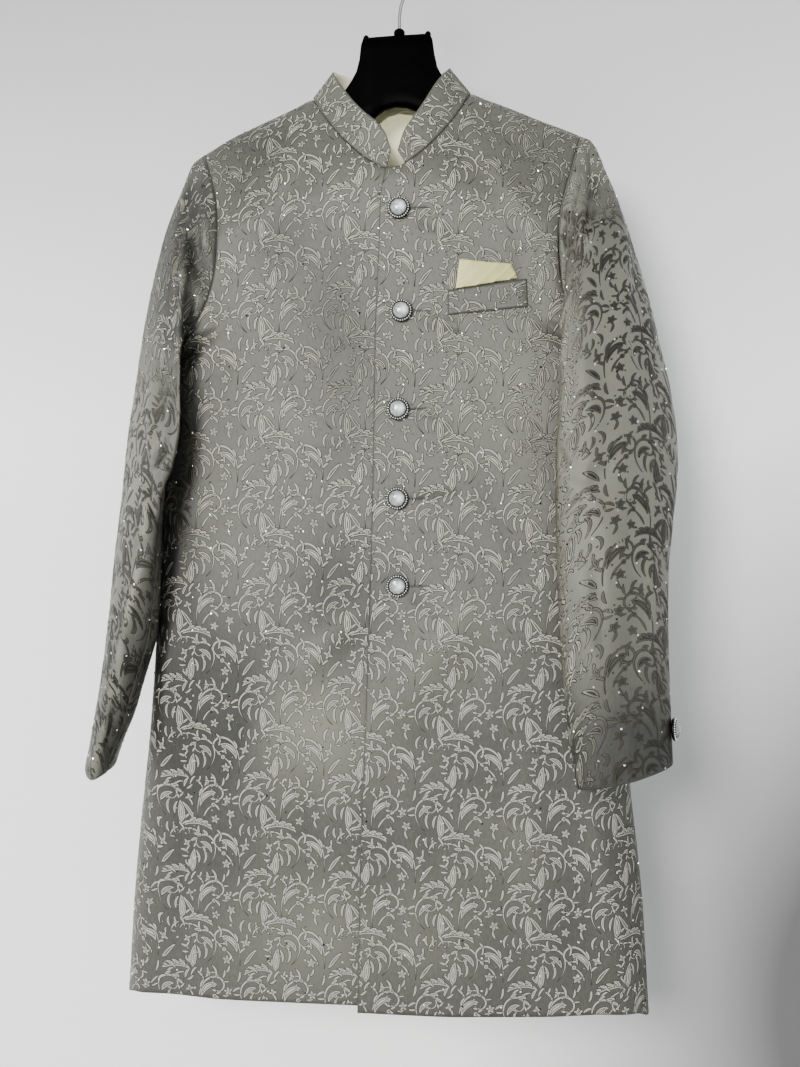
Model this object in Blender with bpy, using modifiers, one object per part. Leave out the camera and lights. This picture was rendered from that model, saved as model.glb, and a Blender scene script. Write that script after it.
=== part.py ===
"""Sherwani coat on a plain hanger: solids of every sewn piece.

Metres, +Z up, +X toward the wearer's left sleeve, the fronts face -Y.
The origin is where the inside of the hanger hook rests on a rod.
Heights in the tables are drops below that point.
"""
import math

import bmesh
import bpy
import numpy as np
from mathutils import Vector
from mathutils.bvhtree import BVHTree

for old in list(bpy.data.objects):
    bpy.data.objects.remove(old, do_unlink=True)

# ---- driving sizes ----
CLOTH = 0.0020            # wall of the coat cloth
SLEEVE_CLOTH = 0.0018
LINING_CLOTH = 0.0010
SEAM = 0.0003             # gap between pieces at a seam
OVERLAP_RISE = 0.0030     # the over front lies this far out from the under front
UNDER_EDGE_X = 0.026      # hidden edge of the under front
UNDERARM_DROP = 0.428
BUTTON_DROPS = (0.2956, 0.4007, 0.5007, 0.5922, 0.6818)
BUTTON_X = (0.0070, 0.0095, 0.0062, 0.0051, 0.0053)
VENT_TOP = 0.960          # side slit starts here and runs to the hem
HOOK_RADIUS = 0.0205      # inside radius of the hook
WIRE_RADIUS = 0.0017

# ---- body form: half outline and depth at each drop ----
# drop, left edge, left turn, right turn, right edge, front depth, back depth
BODY_ROWS = (
    (0.120, -0.236, -0.150, 0.120, 0.214, 0.058, 0.054),
    (0.300, -0.243, -0.175, 0.145, 0.220, 0.060, 0.047),
    (0.428, -0.251, -0.205, 0.160, 0.228, 0.060, 0.046),
    (0.500, -0.261, -0.214, 0.159, 0.235, 0.058, 0.046),
    (0.600, -0.265, -0.218, 0.155, 0.238, 0.057, 0.045),
    (0.700, -0.266, -0.227, 0.152, 0.240, 0.056, 0.043),
    (0.800, -0.270, -0.245, 0.160, 0.243, 0.054, 0.041),
    (0.900, -0.280, -0.252, 0.190, 0.249, 0.051, 0.038),
    (1.000, -0.290, -0.262, 0.218, 0.260, 0.048, 0.035),
    (1.145, -0.3005, -0.268, 0.232, 0.2685, 0.045, 0.031),
)
# x, drop of the shoulder line, carried on across the neck and past the tips
SHOULDER_ROWS = (
    (-0.300, 0.2620), (-0.2148, 0.2084), (-0.2069, 0.2037), (-0.1820, 0.1900),
    (-0.1516, 0.1774), (-0.1147, 0.1619), (-0.0929, 0.1524), (-0.050, 0.134),
    (-0.007, 0.126), (0.036, 0.134), (0.0788, 0.1536), (0.1103, 0.1660),
    (0.1529, 0.1849), (0.1962, 0.2038), (0.280, 0.2560),
)
# share from shoulder tip to underarm, x, drop
RIGHT_ARMHOLE_ROWS = (      # the wearer's right, at -X
    (0.0, -0.2148, 0.2084), (0.1, -0.2049, 0.2330), (0.2, -0.1950, 0.2600),
    (0.3, -0.1882, 0.2900), (0.4, -0.1860, 0.3170), (0.5, -0.1868, 0.3430),
    (0.6, -0.1915, 0.3680), (0.7, -0.2010, 0.3930), (0.8, -0.2150, 0.4130),
    (0.9, -0.2325, 0.4245), (1.0, -0.2515, 0.4280),
)
LEFT_ARMHOLE_ROWS = (
    (0.0, 0.1962, 0.2038), (0.1, 0.1890, 0.2285), (0.2, 0.1822, 0.2550),
    (0.3, 0.1745, 0.2840), (0.4, 0.1698, 0.3130), (0.5, 0.1690, 0.3400),
    (0.6, 0.1722, 0.3660), (0.7, 0.1800, 0.3910), (0.8, 0.1925, 0.4120),
    (0.9, 0.2090, 0.4245), (1.0, 0.2285, 0.4280),
)
# x, drop of the neck seam on the fronts; the last row is the neck point
RIGHT_NECK_ROWS = (
    (0.0260, 0.2560), (0.0110, 0.2580), (-0.0061, 0.2523), (-0.0180, 0.2465),
    (-0.0330, 0.2352), (-0.0460, 0.2225), (-0.0580, 0.2085), (-0.0700, 0.1920),
    (-0.0816, 0.1740), (-0.0929, 0.1524),
)
LEFT_NECK_ROWS = (
    (-0.0070, 0.2524), (0.0040, 0.2512), (0.0130, 0.2482), (0.0235, 0.2403),
    (0.0350, 0.2295), (0.0460, 0.2172), (0.0560, 0.2030), (0.0650, 0.1885),
    (0.0722, 0.1725), (0.0788, 0.1536),
)
# x, drop of the neck seam on the back, between the two neck points
BACK_NECK_ROWS = (
    (-0.0929, 0.1524), (-0.0720, 0.1528), (-0.0430, 0.1515), (-0.0070, 0.1508),
    (0.0290, 0.1515), (0.0580, 0.1532), (0.0788, 0.1536),
)
# drop, x of the over front's edge
EDGE_ROWS = (
    (0.240, -0.0062), (0.2524, -0.0070), (0.2754, -0.0113), (0.3459, -0.0144),
    (0.4237, -0.0180), (0.5033, -0.0196), (0.6059, -0.0215), (0.7459, -0.0259),
    (0.9038, -0.0322), (1.0348, -0.0365), (1.140, -0.0380),
)
# x, drop of the hem: under front, over front, back
UNDER_HEM_ROWS = ((-0.3005, 1.1340), (-0.290, 1.1250), (-0.275, 1.1195), (-0.247, 1.1187),
                  (-0.178, 1.1215), (0.030, 1.1203))
OVER_HEM_ROWS = ((-0.040, 1.1271), (0.064, 1.1275), (0.161, 1.1240), (0.225, 1.1195),
                 (0.245, 1.1200), (0.260, 1.1280), (0.2685, 1.1360))
BACK_HEM_ROWS = ((-0.3005, 1.1340), (-0.260, 1.1290), (-0.015, 1.1260), (0.230, 1.1300),
                 (0.2685, 1.1360))

# Folds in the body cloth. Each is a soft line from one end to the other.
# side (-1 front, 1 back), x0, drop0, x1, drop1, half width, rise out of the cloth
FOLD_ROWS = (
    (-1, 0.082, 0.690, -0.022, 0.835, 0.016, 0.0034),
    (-1, 0.104, 0.730, 0.020, 0.885, 0.018, -0.0026),
    (-1, 0.120, 0.300, 0.168, 0.470, 0.012, -0.0022),
    (-1, -0.150, 0.300, -0.205, 0.470, 0.012, -0.0022),
    (-1, -0.120, 0.640, -0.190, 0.860, 0.018, 0.0022),
    (-1, 0.060, 0.900, 0.100, 1.130, 0.024, 0.0030),
    (-1, -0.150, 0.880, -0.165, 1.130, 0.026, 0.0028),
    (-1, 0.175, 0.850, 0.195, 1.130, 0.020, -0.0026),
    (1, -0.010, 0.230, -0.015, 0.600, 0.026, -0.0030),
    (1, -0.120, 0.640, -0.160, 1.120, 0.026, 0.0034),
    (1, 0.110, 0.660, 0.150, 1.130, 0.024, 0.0032),
    (1, -0.015, 0.700, -0.020, 1.125, 0.030, -0.0030),
    (1, 0.150, 0.270, 0.185, 0.430, 0.014, -0.0022),
    (1, -0.165, 0.270, -0.205, 0.430, 0.014, -0.0022),
)

# Sleeve rings, from the armhole to the cuff. Each ring is set by four points:
# the outer and inner ones and the front and back folds, as x, y, drop.
SLEEVE_COLUMNS = ("share", "ox", "oy", "od", "ix", "iy", "idrop",
                  "fx", "fy", "fd", "kx", "ky", "kd")
RIGHT_SLEEVE_ROWS = (       # the wearer's right, seen edge-on, folds point front and back
    (0.06, -0.2295, 0.000, 0.2240, -0.2585, -0.004, 0.4255, -0.2040, -0.056, 0.3420, -0.2140, 0.046, 0.3300),
    (0.12, -0.2390, -0.004, 0.2500, -0.2655, -0.006, 0.4350, -0.2110, -0.066, 0.3580, -0.2290, 0.046, 0.3480),
    (0.20, -0.2540, -0.012, 0.2950, -0.2690, -0.008, 0.4550, -0.2140, -0.077, 0.3860, -0.2460, 0.044, 0.3760),
    (0.28, -0.2655, -0.020, 0.3500, -0.2670, -0.014, 0.4800, -0.2150, -0.086, 0.4240, -0.2640, 0.040, 0.4120),
    (0.36, -0.2745, -0.028, 0.4100, -0.2590, -0.026, 0.5050, -0.2140, -0.092, 0.4660, -0.2800, 0.034, 0.4540),
    (0.43, -0.2800, -0.034, 0.4650, -0.2480, -0.043, 0.5280, -0.2170, -0.096, 0.5040, -0.2890, 0.028, 0.4960),
    (0.50, -0.2865, -0.038, 0.5180, -0.2460, -0.049, 0.5500, -0.2260, -0.100, 0.5390, -0.2970, 0.024, 0.5350),
    (0.56, -0.2905, -0.040, 0.5620, -0.2545, -0.046, 0.5820, -0.2350, -0.101, 0.5760, -0.3020, 0.022, 0.5740),
    (0.64, -0.2975, -0.040, 0.6200, -0.2548, -0.044, 0.6330, -0.2480, -0.103, 0.6300, -0.3060, 0.024, 0.6280),
    (0.73, -0.3060, -0.040, 0.6850, -0.2555, -0.038, 0.6930, -0.2590, -0.104, 0.6930, -0.3110, 0.026, 0.6900),
    (0.82, -0.3110, -0.042, 0.7480, -0.2635, -0.038, 0.7530, -0.2710, -0.104, 0.7540, -0.3140, 0.022, 0.7500),
    (0.91, -0.3190, -0.046, 0.8130, -0.2795, -0.040, 0.8200, -0.2850, -0.103, 0.8180, -0.3200, 0.012, 0.8150),
    (1.00, -0.3300, -0.050, 0.8720, -0.3000, -0.042, 0.8760, -0.2975, -0.101, 0.8805, -0.3330, 0.004, 0.8710),
)
LEFT_SLEEVE_ROWS = (        # the wearer's left, seen flat, in front of the body's side
    (0.06, 0.2105, -0.002, 0.2160, 0.2370, -0.006, 0.4250, 0.1760, -0.058, 0.3640, 0.2060, 0.046, 0.3300),
    (0.12, 0.2190, -0.010, 0.2420, 0.2440, -0.010, 0.4340, 0.1740, -0.068, 0.3900, 0.2220, 0.044, 0.3500),
    (0.20, 0.2310, -0.026, 0.2850, 0.2500, -0.016, 0.4540, 0.1710, -0.078, 0.4180, 0.2440, 0.036, 0.3800),
    (0.28, 0.2380, -0.048, 0.3450, 0.2510, -0.018, 0.4820, 0.1692, -0.086, 0.4520, 0.2655, 0.022, 0.4180),
    (0.36, 0.2360, -0.070, 0.4050, 0.2500, -0.026, 0.5060, 0.1672, -0.088, 0.4860, 0.2800, 0.004, 0.4600),
    (0.43, 0.2330, -0.086, 0.4660, 0.2480, -0.034, 0.5280, 0.1656, -0.090, 0.5190, 0.2900, -0.012, 0.5020),
    (0.50, 0.2290, -0.096, 0.5250, 0.2440, -0.042, 0.5540, 0.1640, -0.090, 0.5520, 0.2932, -0.024, 0.5450),
    (0.56, 0.2260, -0.102, 0.5780, 0.2400, -0.050, 0.5900, 0.1634, -0.089, 0.5900, 0.2895, -0.032, 0.5880),
    (0.64, 0.2230, -0.108, 0.6370, 0.2340, -0.056, 0.6430, 0.1642, -0.088, 0.6440, 0.2830, -0.040, 0.6420),
    (0.73, 0.2220, -0.112, 0.7000, 0.2300, -0.060, 0.7030, 0.1668, -0.087, 0.7060, 0.2780, -0.048, 0.7020),
    (0.82, 0.2240, -0.114, 0.7600, 0.2300, -0.062, 0.7610, 0.1708, -0.086, 0.7660, 0.2785, -0.054, 0.7600),
    (0.91, 0.2280, -0.114, 0.8170, 0.2330, -0.064, 0.8170, 0.1765, -0.085, 0.8260, 0.2800, -0.058, 0.8140),
    (1.00, 0.2340, -0.110, 0.8650, 0.2380, -0.066, 0.8650, 0.1850, -0.084, 0.8780, 0.2812, -0.062, 0.8560),
)
# Folds along a sleeve. ring share 0..1, turn in degrees, at each end, half width, rise
SLEEVE_FOLDS = {
    "right": ((0.10, 40, 0.40, 120, 0.016, 0.0036), (0.05, 75, 0.26, 140, 0.012, -0.0030),
              (0.46, 150, 0.56, 100, 0.012, 0.0040), (0.60, 60, 0.90, 70, 0.012, -0.0018),
              (0.10, 300, 0.42, 250, 0.016, 0.0030)),
    "left": ((0.06, 8, 0.30, 62, 0.012, -0.0034), (0.10, 350, 0.34, 38, 0.014, 0.0030),
             (0.46, 70, 0.56, 20, 0.014, 0.0028), (0.55, 350, 0.90, 355, 0.014, -0.0018),
             (0.10, 300, 0.42, 240, 0.016, 0.0030)),
}

# Collar band: x, y, drop of its top edge beside each neck seam place, by share
# from the wearer's right end round the back to the left end.
COLLAR_TOP_ROWS = (
    (0.000, -0.0018, -0.0575, 0.2349), (0.032, -0.0040, -0.0560, 0.2240),
    (0.077, -0.0110, -0.0530, 0.2085), (0.163, -0.0290, -0.0440, 0.1890),
    (0.230, -0.0420, -0.0360, 0.1735), (0.287, -0.0530, -0.0260, 0.1575),
    (0.350, -0.0709, -0.0030, 0.1247), (0.420, -0.0560, 0.0280, 0.1180),
    (0.500, -0.0070, 0.0430, 0.1170), (0.580, 0.0430, 0.0280, 0.1185),
    (0.650, 0.0566, -0.0030, 0.1262), (0.713, 0.0485, -0.0220, 0.1410),
    (0.770, 0.0400, -0.0330, 0.1600), (0.837, 0.0290, -0.0420, 0.1810),
    (0.923, 0.0155, -0.0515, 0.2055), (0.968, 0.0080, -0.0560, 0.2210),
    (1.000, 0.0054, -0.0585, 0.2345),
)

# Welt pocket: x, drop at its corners
WELT_CORNERS = ((0.0568, 0.3806), (0.1371, 0.3690), (0.1377, 0.3980), (0.0568, 0.4059))
SQUARE_CORNERS = ((0.0689, 0.3492), (0.1211, 0.3544), (0.1282, 0.3690), (0.0650, 0.3790))


def smoothCurve(xs, ys):
    """Return a curve through the given places that never overshoots them."""
    xs = np.asarray(xs, float)
    ys = np.asarray(ys, float)
    step = np.diff(xs)
    slope = np.diff(ys) / step
    tangent = np.zeros(len(xs))
    tangent[0] = slope[0]
    tangent[-1] = slope[-1]
    for i in range(1, len(xs) - 1):
        if slope[i - 1] * slope[i] > 0:
            before = 2 * step[i] + step[i - 1]
            after = step[i] + 2 * step[i - 1]
            tangent[i] = (before + after) / (before / slope[i - 1] + after / slope[i])

    def curve(x):
        x = np.clip(np.asarray(x, float), xs[0], xs[-1])
        k = np.clip(np.searchsorted(xs, x, side="right") - 1, 0, len(xs) - 2)
        t = (x - xs[k]) / step[k]
        return ((1 + 2 * t) * (1 - t) ** 2 * ys[k] + t * (1 - t) ** 2 * step[k] * tangent[k]
                + t * t * (3 - 2 * t) * ys[k + 1] + t * t * (t - 1) * step[k] * tangent[k + 1])

    return curve


def columnCurves(rows):
    table = np.array(rows)
    return [smoothCurve(table[:, 0], table[:, i]) for i in range(1, table.shape[1])]


leftEdge, leftTurn, rightTurn, rightEdge, frontDepth, backDepth = columnCurves(BODY_ROWS)
shoulderDrop = columnCurves(SHOULDER_ROWS)[0]
overEdgeX = columnCurves(EDGE_ROWS)[0]


def smooth(t):
    t = np.clip(t, 0, 1)
    return t * t * (3 - 2 * t)


def lineShare(x, drop, row):
    """How strongly a fold row acts at a place, 0 away from it and 1 on its line."""
    x0, d0, x1, d1, half = row
    length = math.hypot(x1 - x0, d1 - d0)
    ux = (x1 - x0) / length
    ud = (d1 - d0) / length
    along = (x - x0) * ux + (drop - d0) * ud
    across = (x - x0) * ud - (drop - d0) * ux
    ends = smooth(along / (0.28 * length)) * smooth((length - along) / (0.28 * length))
    return ends * np.exp(-(across / half) ** 2)


def sideClosure(x, drop):
    """1 across the flat of the body, falling to 0 at the side seams."""
    edge0, turn0, turn1, edge1 = leftEdge(drop), leftTurn(drop), rightTurn(drop), rightEdge(drop)
    t = np.where(x < turn0, (turn0 - x) / (turn0 - edge0),
                 np.where(x > turn1, (x - turn1) / (edge1 - turn1), 0.0))
    t = np.clip(t, 0, 1)
    middle = (turn0 + turn1) / 2
    half = (turn1 - turn0) / 2
    crown = 1 - 0.07 * np.clip(np.abs((x - middle) / half), 0, 1) ** 2
    return (1 - t ** 1.7) ** (1 / 1.7) * crown


def bodyDepth(x, drop, side):
    """Y of the body's outer surface, side -1 for the fronts and 1 for the back."""
    x = np.asarray(x, float)
    drop = np.asarray(drop, float)
    below = np.clip(drop - shoulderDrop(x), 0, None)
    reach, bead = (0.15, 0.18) if side < 0 else (0.05, 0.22)
    fall = ((1 - bead) * np.sin(math.pi / 2 * np.clip(below / reach, 0, 1))
            + bead * np.sqrt(1 - (1 - np.clip(below / 0.016, 0, 1)) ** 2))
    depth = (frontDepth(drop) if side < 0 else backDepth(drop)) * fall
    closure = sideClosure(x, drop)
    for row in FOLD_ROWS:
        if row[0] == side:
            depth = depth + row[6] * lineShare(x, drop, row[1:6]) * smooth(closure * 2)
    return side * depth * closure


def sideEnds(drop, toRight):
    if toRight:
        return rightTurn(drop), rightEdge(drop)
    return leftTurn(drop), leftEdge(drop)


def shareAcross(x, drop, start, toRight):
    """Share of the way from the centre to the side seam, measured round the turn."""
    turn, edge = sideEnds(drop, toRight)
    flat = abs(turn - start)
    arc = 0.045 + 1.1 * abs(edge - turn)
    t = np.clip((x - turn) / (edge - turn), 0, 1)
    theta = np.arcsin(np.clip(t ** 0.85, 0, 1))
    onFlat = np.clip((x - start) / (turn - start), 0, 1)
    return float((onFlat * flat + theta / (math.pi / 2) * arc) / (flat + arc))


def placeAcross(share, drop, start, toRight):
    """The x at a share of the way from the centre to the side seam."""
    turn, edge = sideEnds(drop, toRight)
    flat = abs(turn - start)
    arc = 0.045 + 1.1 * abs(edge - turn)
    way = share * (flat + arc)
    if way <= flat:
        return float(start + (turn - start) * way / flat)
    theta = min(1.0, (way - flat) / arc) * math.pi / 2
    return float(turn + (edge - turn) * math.sin(theta) ** (1 / 0.85))


def overRise(x, drop):
    """How far the over front lies out from the body form near the overlap."""
    x = np.asarray(x, float)
    down = smooth((np.asarray(drop) - shoulderDrop(x)) / 0.04)
    return OVERLAP_RISE * (1 - smooth((x - 0.045) / 0.06)) * down


def panelGrid(top, armholeRows, hemRows, side, toRight, startX, rowShares, rise=None):
    """Outer points of a body panel from its centre column to its side seam.

    top holds (x, drop) of each column's upper end: neck seam, then shoulder seam.
    rowShares holds armhole shares first, then drops below the underarm as shares.
    """
    arm = np.array(armholeRows)
    armDrop = smoothCurve(arm[:, 0], arm[:, 2])
    armX = smoothCurve(arm[:, 2], arm[:, 1])
    hem = columnCurves(hemRows)[0] if hemRows[0][0] < hemRows[-1][0] else None
    sideHem = float(hem(sideEnds(1.14, toRight)[1]))
    tipDrop = float(arm[0, 2])
    upper, lower = rowShares
    downShares = [(float(armDrop(s)) - tipDrop) / (sideHem - tipDrop) for s in upper]
    underarmShare = downShares[-1]
    downShares += [underarmShare + (1 - underarmShare) * s for s in lower]
    columns = len(top)
    points = np.zeros((len(downShares), columns, 3))
    for c, (topX, topDrop) in enumerate(top):
        def reachAt(drop):
            if drop >= UNDERARM_DROP:
                return 1.0
            return shareAcross(float(armX(drop)), drop, startX(drop), toRight)
        topShare = shareAcross(topX, topDrop, startX(topDrop), toRight) / reachAt(topDrop)
        lowShare = c / (columns - 1)
        hemX = placeAcross(lowShare, 1.13, startX(1.13), toRight)
        hemDrop = float(hem(hemX))
        for r, down in enumerate(downShares):
            drop = topDrop + (hemDrop - topDrop) * down
            blend = float(smooth((drop - topDrop) / (UNDERARM_DROP - topDrop)))
            share = (topShare + (lowShare - topShare) * blend) * reachAt(drop)
            x = placeAcross(share, drop, startX(drop), toRight)
            if r == 0:
                x = topX
            if c == columns - 1:
                if drop < UNDERARM_DROP - 1e-6:
                    x = float(armX(drop))
                else:
                    x = float(sideEnds(drop, toRight)[1])
            y = float(bodyDepth(x, drop, side))
            if c == columns - 1 and (r == 0 or drop >= UNDERARM_DROP - 1e-6):
                y = 0.0
            if rise is not None:
                y -= float(rise(x, drop))
            points[r, c] = (x, y, -drop)
    return points


def seamPlaces(rows, count, fixed=0):
    """Places along a seam: the first rows kept, the rest spread to its end."""
    table = np.array(rows)
    index = np.arange(len(table), dtype=float)
    xCurve = smoothCurve(index, table[:, 0])
    dropCurve = smoothCurve(index, table[:, 1])
    picks = list(range(fixed)) + list(np.linspace(fixed, len(table) - 1, count - fixed))
    return [(float(xCurve(t)), float(dropCurve(t))) for t in picks]


def shoulderPlaces(x0, x1, count):
    places = []
    for i in range(1, count + 1):
        x = x0 + (x1 - x0) * i / count
        places.append((x, float(shoulderDrop(x))))
    return places


def ringPoints(outer, inner, front, back, turns):
    """A sleeve ring through four points, squared off a little."""
    middle = (outer + inner + front + back) / 4
    ring = []
    for turn in turns:
        c = math.cos(turn)
        s = math.sin(turn)
        cs = math.copysign(abs(c) ** 0.92, c)
        sn = math.copysign(abs(s) ** 0.92, s)
        p = middle + abs(cs) * ((outer if cs > 0 else inner) - middle)
        p = p + abs(sn) * ((front if sn > 0 else back) - middle)
        ring.append(p)
    return np.array(ring), middle


def sleeveGrid(armhole, rows, shares, folds):
    """Outer points of a sleeve tube, rings down the sleeve, columns round it."""
    count = len(armhole)
    turns = [2 * math.pi * j / count for j in range(count)]
    quarter = count // 4
    ends = (armhole[0], armhole[2 * quarter], armhole[quarter], armhole[3 * quarter])
    first = [0.0]
    for place in ends:
        first += [place[0], place[1], -place[2]]
    table = np.array([first] + [list(row) for row in rows])
    curves = [smoothCurve(table[:, 0], table[:, i]) for i in range(1, 13)]
    startRing, _ = ringPoints(*ends, turns)
    grid = np.zeros((len(shares), count, 3))
    for r, share in enumerate(shares):
        if share == 0:
            grid[r] = armhole
            continue
        at = [float(curve(share)) for curve in curves]
        four = [np.array((at[i], at[i + 1], -at[i + 2])) for i in (0, 3, 6, 9)]
        ring, middle = ringPoints(*four, turns)
        keep = 1 - float(smooth(share / 0.26))
        ring = ring + keep * (armhole - startRing)
        for j, turn in enumerate(turns):
            push = 0.0
            for s0, a0, s1, a1, half, rise in folds:
                for whole in (-2 * math.pi, 0.0, 2 * math.pi):
                    row = (math.radians(a0) * 0.05, s0 * 0.68, math.radians(a1) * 0.05,
                           s1 * 0.68, half)
                    push += rise * float(lineShare((turn + whole) * 0.05, share * 0.68, row))
            out = ring[j] - middle
            grid[r, j] = ring[j] + out / np.linalg.norm(out) * push
    return grid


# ---- normals shared by pieces that meet at a seam ----
def placeKey(p):
    return tuple(int(round(v * 1e6)) for v in p)


def addNormals(store, grid, flip, closed=False):
    rows, columns = grid.shape[:2]
    last = columns if closed else columns - 1
    for r in range(rows - 1):
        for c in range(last):
            n = (c + 1) % columns
            quad = [grid[r, c], grid[r + 1, c], grid[r + 1, n], grid[r, n]]
            normal = np.cross(quad[2] - quad[0], quad[3] - quad[1])
            length = np.linalg.norm(normal)
            if length < 1e-12:
                continue
            normal = normal / length * (-1 if flip else 1)
            for i in range(4):
                a = quad[(i + 1) % 4] - quad[i]
                b = quad[(i - 1) % 4] - quad[i]
                span = np.linalg.norm(a) * np.linalg.norm(b)
                if span < 1e-14:
                    continue
                angle = math.acos(max(-1.0, min(1.0, float(np.dot(a, b) / span))))
                store.setdefault(placeKey(quad[i]), []).append((angle, normal))


def innerGrid(store, grid, wall):
    inner = np.zeros_like(grid)
    for r in range(grid.shape[0]):
        for c in range(grid.shape[1]):
            parts = store[placeKey(grid[r, c])]
            total = sum(angle * normal for angle, normal in parts)
            total = total / np.linalg.norm(total)
            share = sum(a * float(np.dot(total, n)) for a, n in parts) / sum(a for a, _ in parts)
            inner[r, c] = grid[r, c] - total * wall / max(0.62, share)
    return inner


def pullEdge(outer, inner, edge, gap):
    """Move one edge of a panel back from its seam. gap is a size or one size a point."""
    if edge == "top":
        near, next_ = (0, slice(None)), (1, slice(None))
    elif edge == "bottom":
        near, next_ = (-1, slice(None)), (-2, slice(None))
    elif edge == "first":
        near, next_ = (slice(None), 0), (slice(None), 1)
    else:
        near, next_ = (slice(None), -1), (slice(None), -2)
    way = outer[next_] - outer[near]
    way = way / np.linalg.norm(way, axis=-1, keepdims=True)
    size = np.asarray(gap, float).reshape(-1, 1) if np.ndim(gap) else gap
    outer[near] = outer[near] + way * size
    inner[near] = inner[near] + way * size


# ---- solids ----
PARTS = bpy.data.collections.new("sherwani_coat_on_hanger")
bpy.context.scene.collection.children.link(PARTS)


def material(name, colour, metallic, roughness):
    mat = bpy.data.materials.new(name)
    mat.use_nodes = True
    shader = mat.node_tree.nodes["Principled BSDF"]
    shader.inputs["Base Color"].default_value = (*colour, 1)
    shader.inputs["Metallic"].default_value = metallic
    shader.inputs["Roughness"].default_value = roughness
    return mat


def addSolid(name, verts, faces, mat):
    mesh = bpy.data.meshes.new(name)
    mesh.from_pydata([tuple(map(float, v)) for v in verts], [], faces)
    mesh.validate()
    bm = bmesh.new()
    bm.from_mesh(mesh)
    bmesh.ops.recalc_face_normals(bm, faces=bm.faces)
    if bm.calc_volume(signed=True) < 0:
        bmesh.ops.reverse_faces(bm, faces=bm.faces)
    bmesh.ops.triangulate(bm, faces=bm.faces)
    bm.to_mesh(mesh)
    bm.free()
    obj = bpy.data.objects.new(name, mesh)
    mesh.materials.append(material(name + "_look", *mat))
    PARTS.objects.link(obj)
    return obj


def wallSolid(name, outer, inner, mat, closed=False):
    """Close a wall between an outer and an inner grid of the same shape."""
    rows, columns = outer.shape[:2]
    verts = list(outer.reshape(-1, 3)) + list(inner.reshape(-1, 3))
    base = rows * columns
    faces = []
    last = columns if closed else columns - 1
    for r in range(rows - 1):
        for c in range(last):
            n = (c + 1) % columns
            a, b, d, e = r * columns + c, (r + 1) * columns + c, (r + 1) * columns + n, r * columns + n
            faces.append((a, b, d, e))
            faces.append((base + e, base + d, base + b, base + a))
    for c in range(last):
        n = (c + 1) % columns
        faces.append((c, n, base + n, base + c))
        low = (rows - 1) * columns
        faces.append((low + n, low + c, base + low + c, base + low + n))
    if not closed:
        for r in range(rows - 1):
            a = r * columns
            b = a + columns
            faces.append((b, a, base + a, base + b))
            a = r * columns + columns - 1
            b = a + columns
            faces.append((a, b, base + b, base + a))
    return addSolid(name, verts, faces, mat)


BROCADE = ((0.42, 0.42, 0.39), 0.0, 0.45)
LINING = ((0.72, 0.70, 0.56), 0.0, 0.5)
METAL = ((0.75, 0.75, 0.72), 1.0, 0.25)
PLASTIC = ((0.015, 0.015, 0.016), 0.0, 0.3)

# ---- body grids ----
ARM_SHARES = [0, 0.03, 0.09, 0.17, 0.26, 0.35, 0.45, 0.55, 0.65, 0.75, 0.84, 0.92, 1.0]
ARM_STEPS = len(ARM_SHARES) - 1
LOW_SHARES = [i / 12 for i in range(1, 13)]
ROW_SHARES = (ARM_SHARES, LOW_SHARES)
SHOULDER_COUNT = 7
RIGHT_TIP_X = RIGHT_ARMHOLE_ROWS[0][1]
LEFT_TIP_X = LEFT_ARMHOLE_ROWS[0][1]
COLLAR_FROM = 2            # the collar starts at this column of each front

underTop = seamPlaces(RIGHT_NECK_ROWS, 8, 2) + shoulderPlaces(
    RIGHT_NECK_ROWS[-1][0], RIGHT_TIP_X, SHOULDER_COUNT)
overTop = seamPlaces(LEFT_NECK_ROWS, 8, 2) + shoulderPlaces(
    LEFT_NECK_ROWS[-1][0], LEFT_TIP_X, SHOULDER_COUNT)
backCentre = BACK_NECK_ROWS[3][0]
backNeck = seamPlaces(BACK_NECK_ROWS, 9)
backLeftTop = list(reversed(backNeck[:5])) + shoulderPlaces(
    RIGHT_NECK_ROWS[-1][0], RIGHT_TIP_X, SHOULDER_COUNT)
backRightTop = backNeck[4:] + shoulderPlaces(
    LEFT_NECK_ROWS[-1][0], LEFT_TIP_X, SHOULDER_COUNT)

underGrid = panelGrid(underTop, RIGHT_ARMHOLE_ROWS, UNDER_HEM_ROWS, -1, False,
                      lambda drop: UNDER_EDGE_X, ROW_SHARES)
overGrid = panelGrid(overTop, LEFT_ARMHOLE_ROWS, OVER_HEM_ROWS, -1, True,
                     lambda drop: float(overEdgeX(drop)), ROW_SHARES, overRise)
backLeft = panelGrid(backLeftTop, RIGHT_ARMHOLE_ROWS, BACK_HEM_ROWS, 1, False,
                     lambda drop: backCentre, ROW_SHARES)
backRight = panelGrid(backRightTop, LEFT_ARMHOLE_ROWS, BACK_HEM_ROWS, 1, True,
                      lambda drop: backCentre, ROW_SHARES)
# the fronts and the back share their shoulder, side and armhole points
for front, half in ((underGrid, backLeft), (overGrid, backRight)):
    neckFront = front.shape[1] - SHOULDER_COUNT - 1
    neckBack = half.shape[1] - SHOULDER_COUNT - 1
    front[0, neckFront:, 1] = 0.0
    half[0, neckBack:] = front[0, neckFront:]
    half[:, -1, 0] = front[:, -1, 0]
    half[:, -1, 2] = front[:, -1, 2]
    half[ARM_STEPS:, -1] = front[ARM_STEPS:, -1]
backGrid = np.concatenate([backLeft[:, ::-1], backRight[:, 1:]], axis=1)

# ---- sleeves ----
RING_SHARES = [0, 0.03, 0.06, 0.09, 0.12, 0.16, 0.20, 0.25, 0.30, 0.35, 0.40, 0.44,
               0.48, 0.52, 0.56, 0.62, 0.69, 0.77, 0.85, 0.925, 1.0]


def armholeLoop(front, half):
    return np.concatenate([front[:ARM_STEPS + 1, -1], half[ARM_STEPS - 1:0:-1, -1]])


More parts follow.
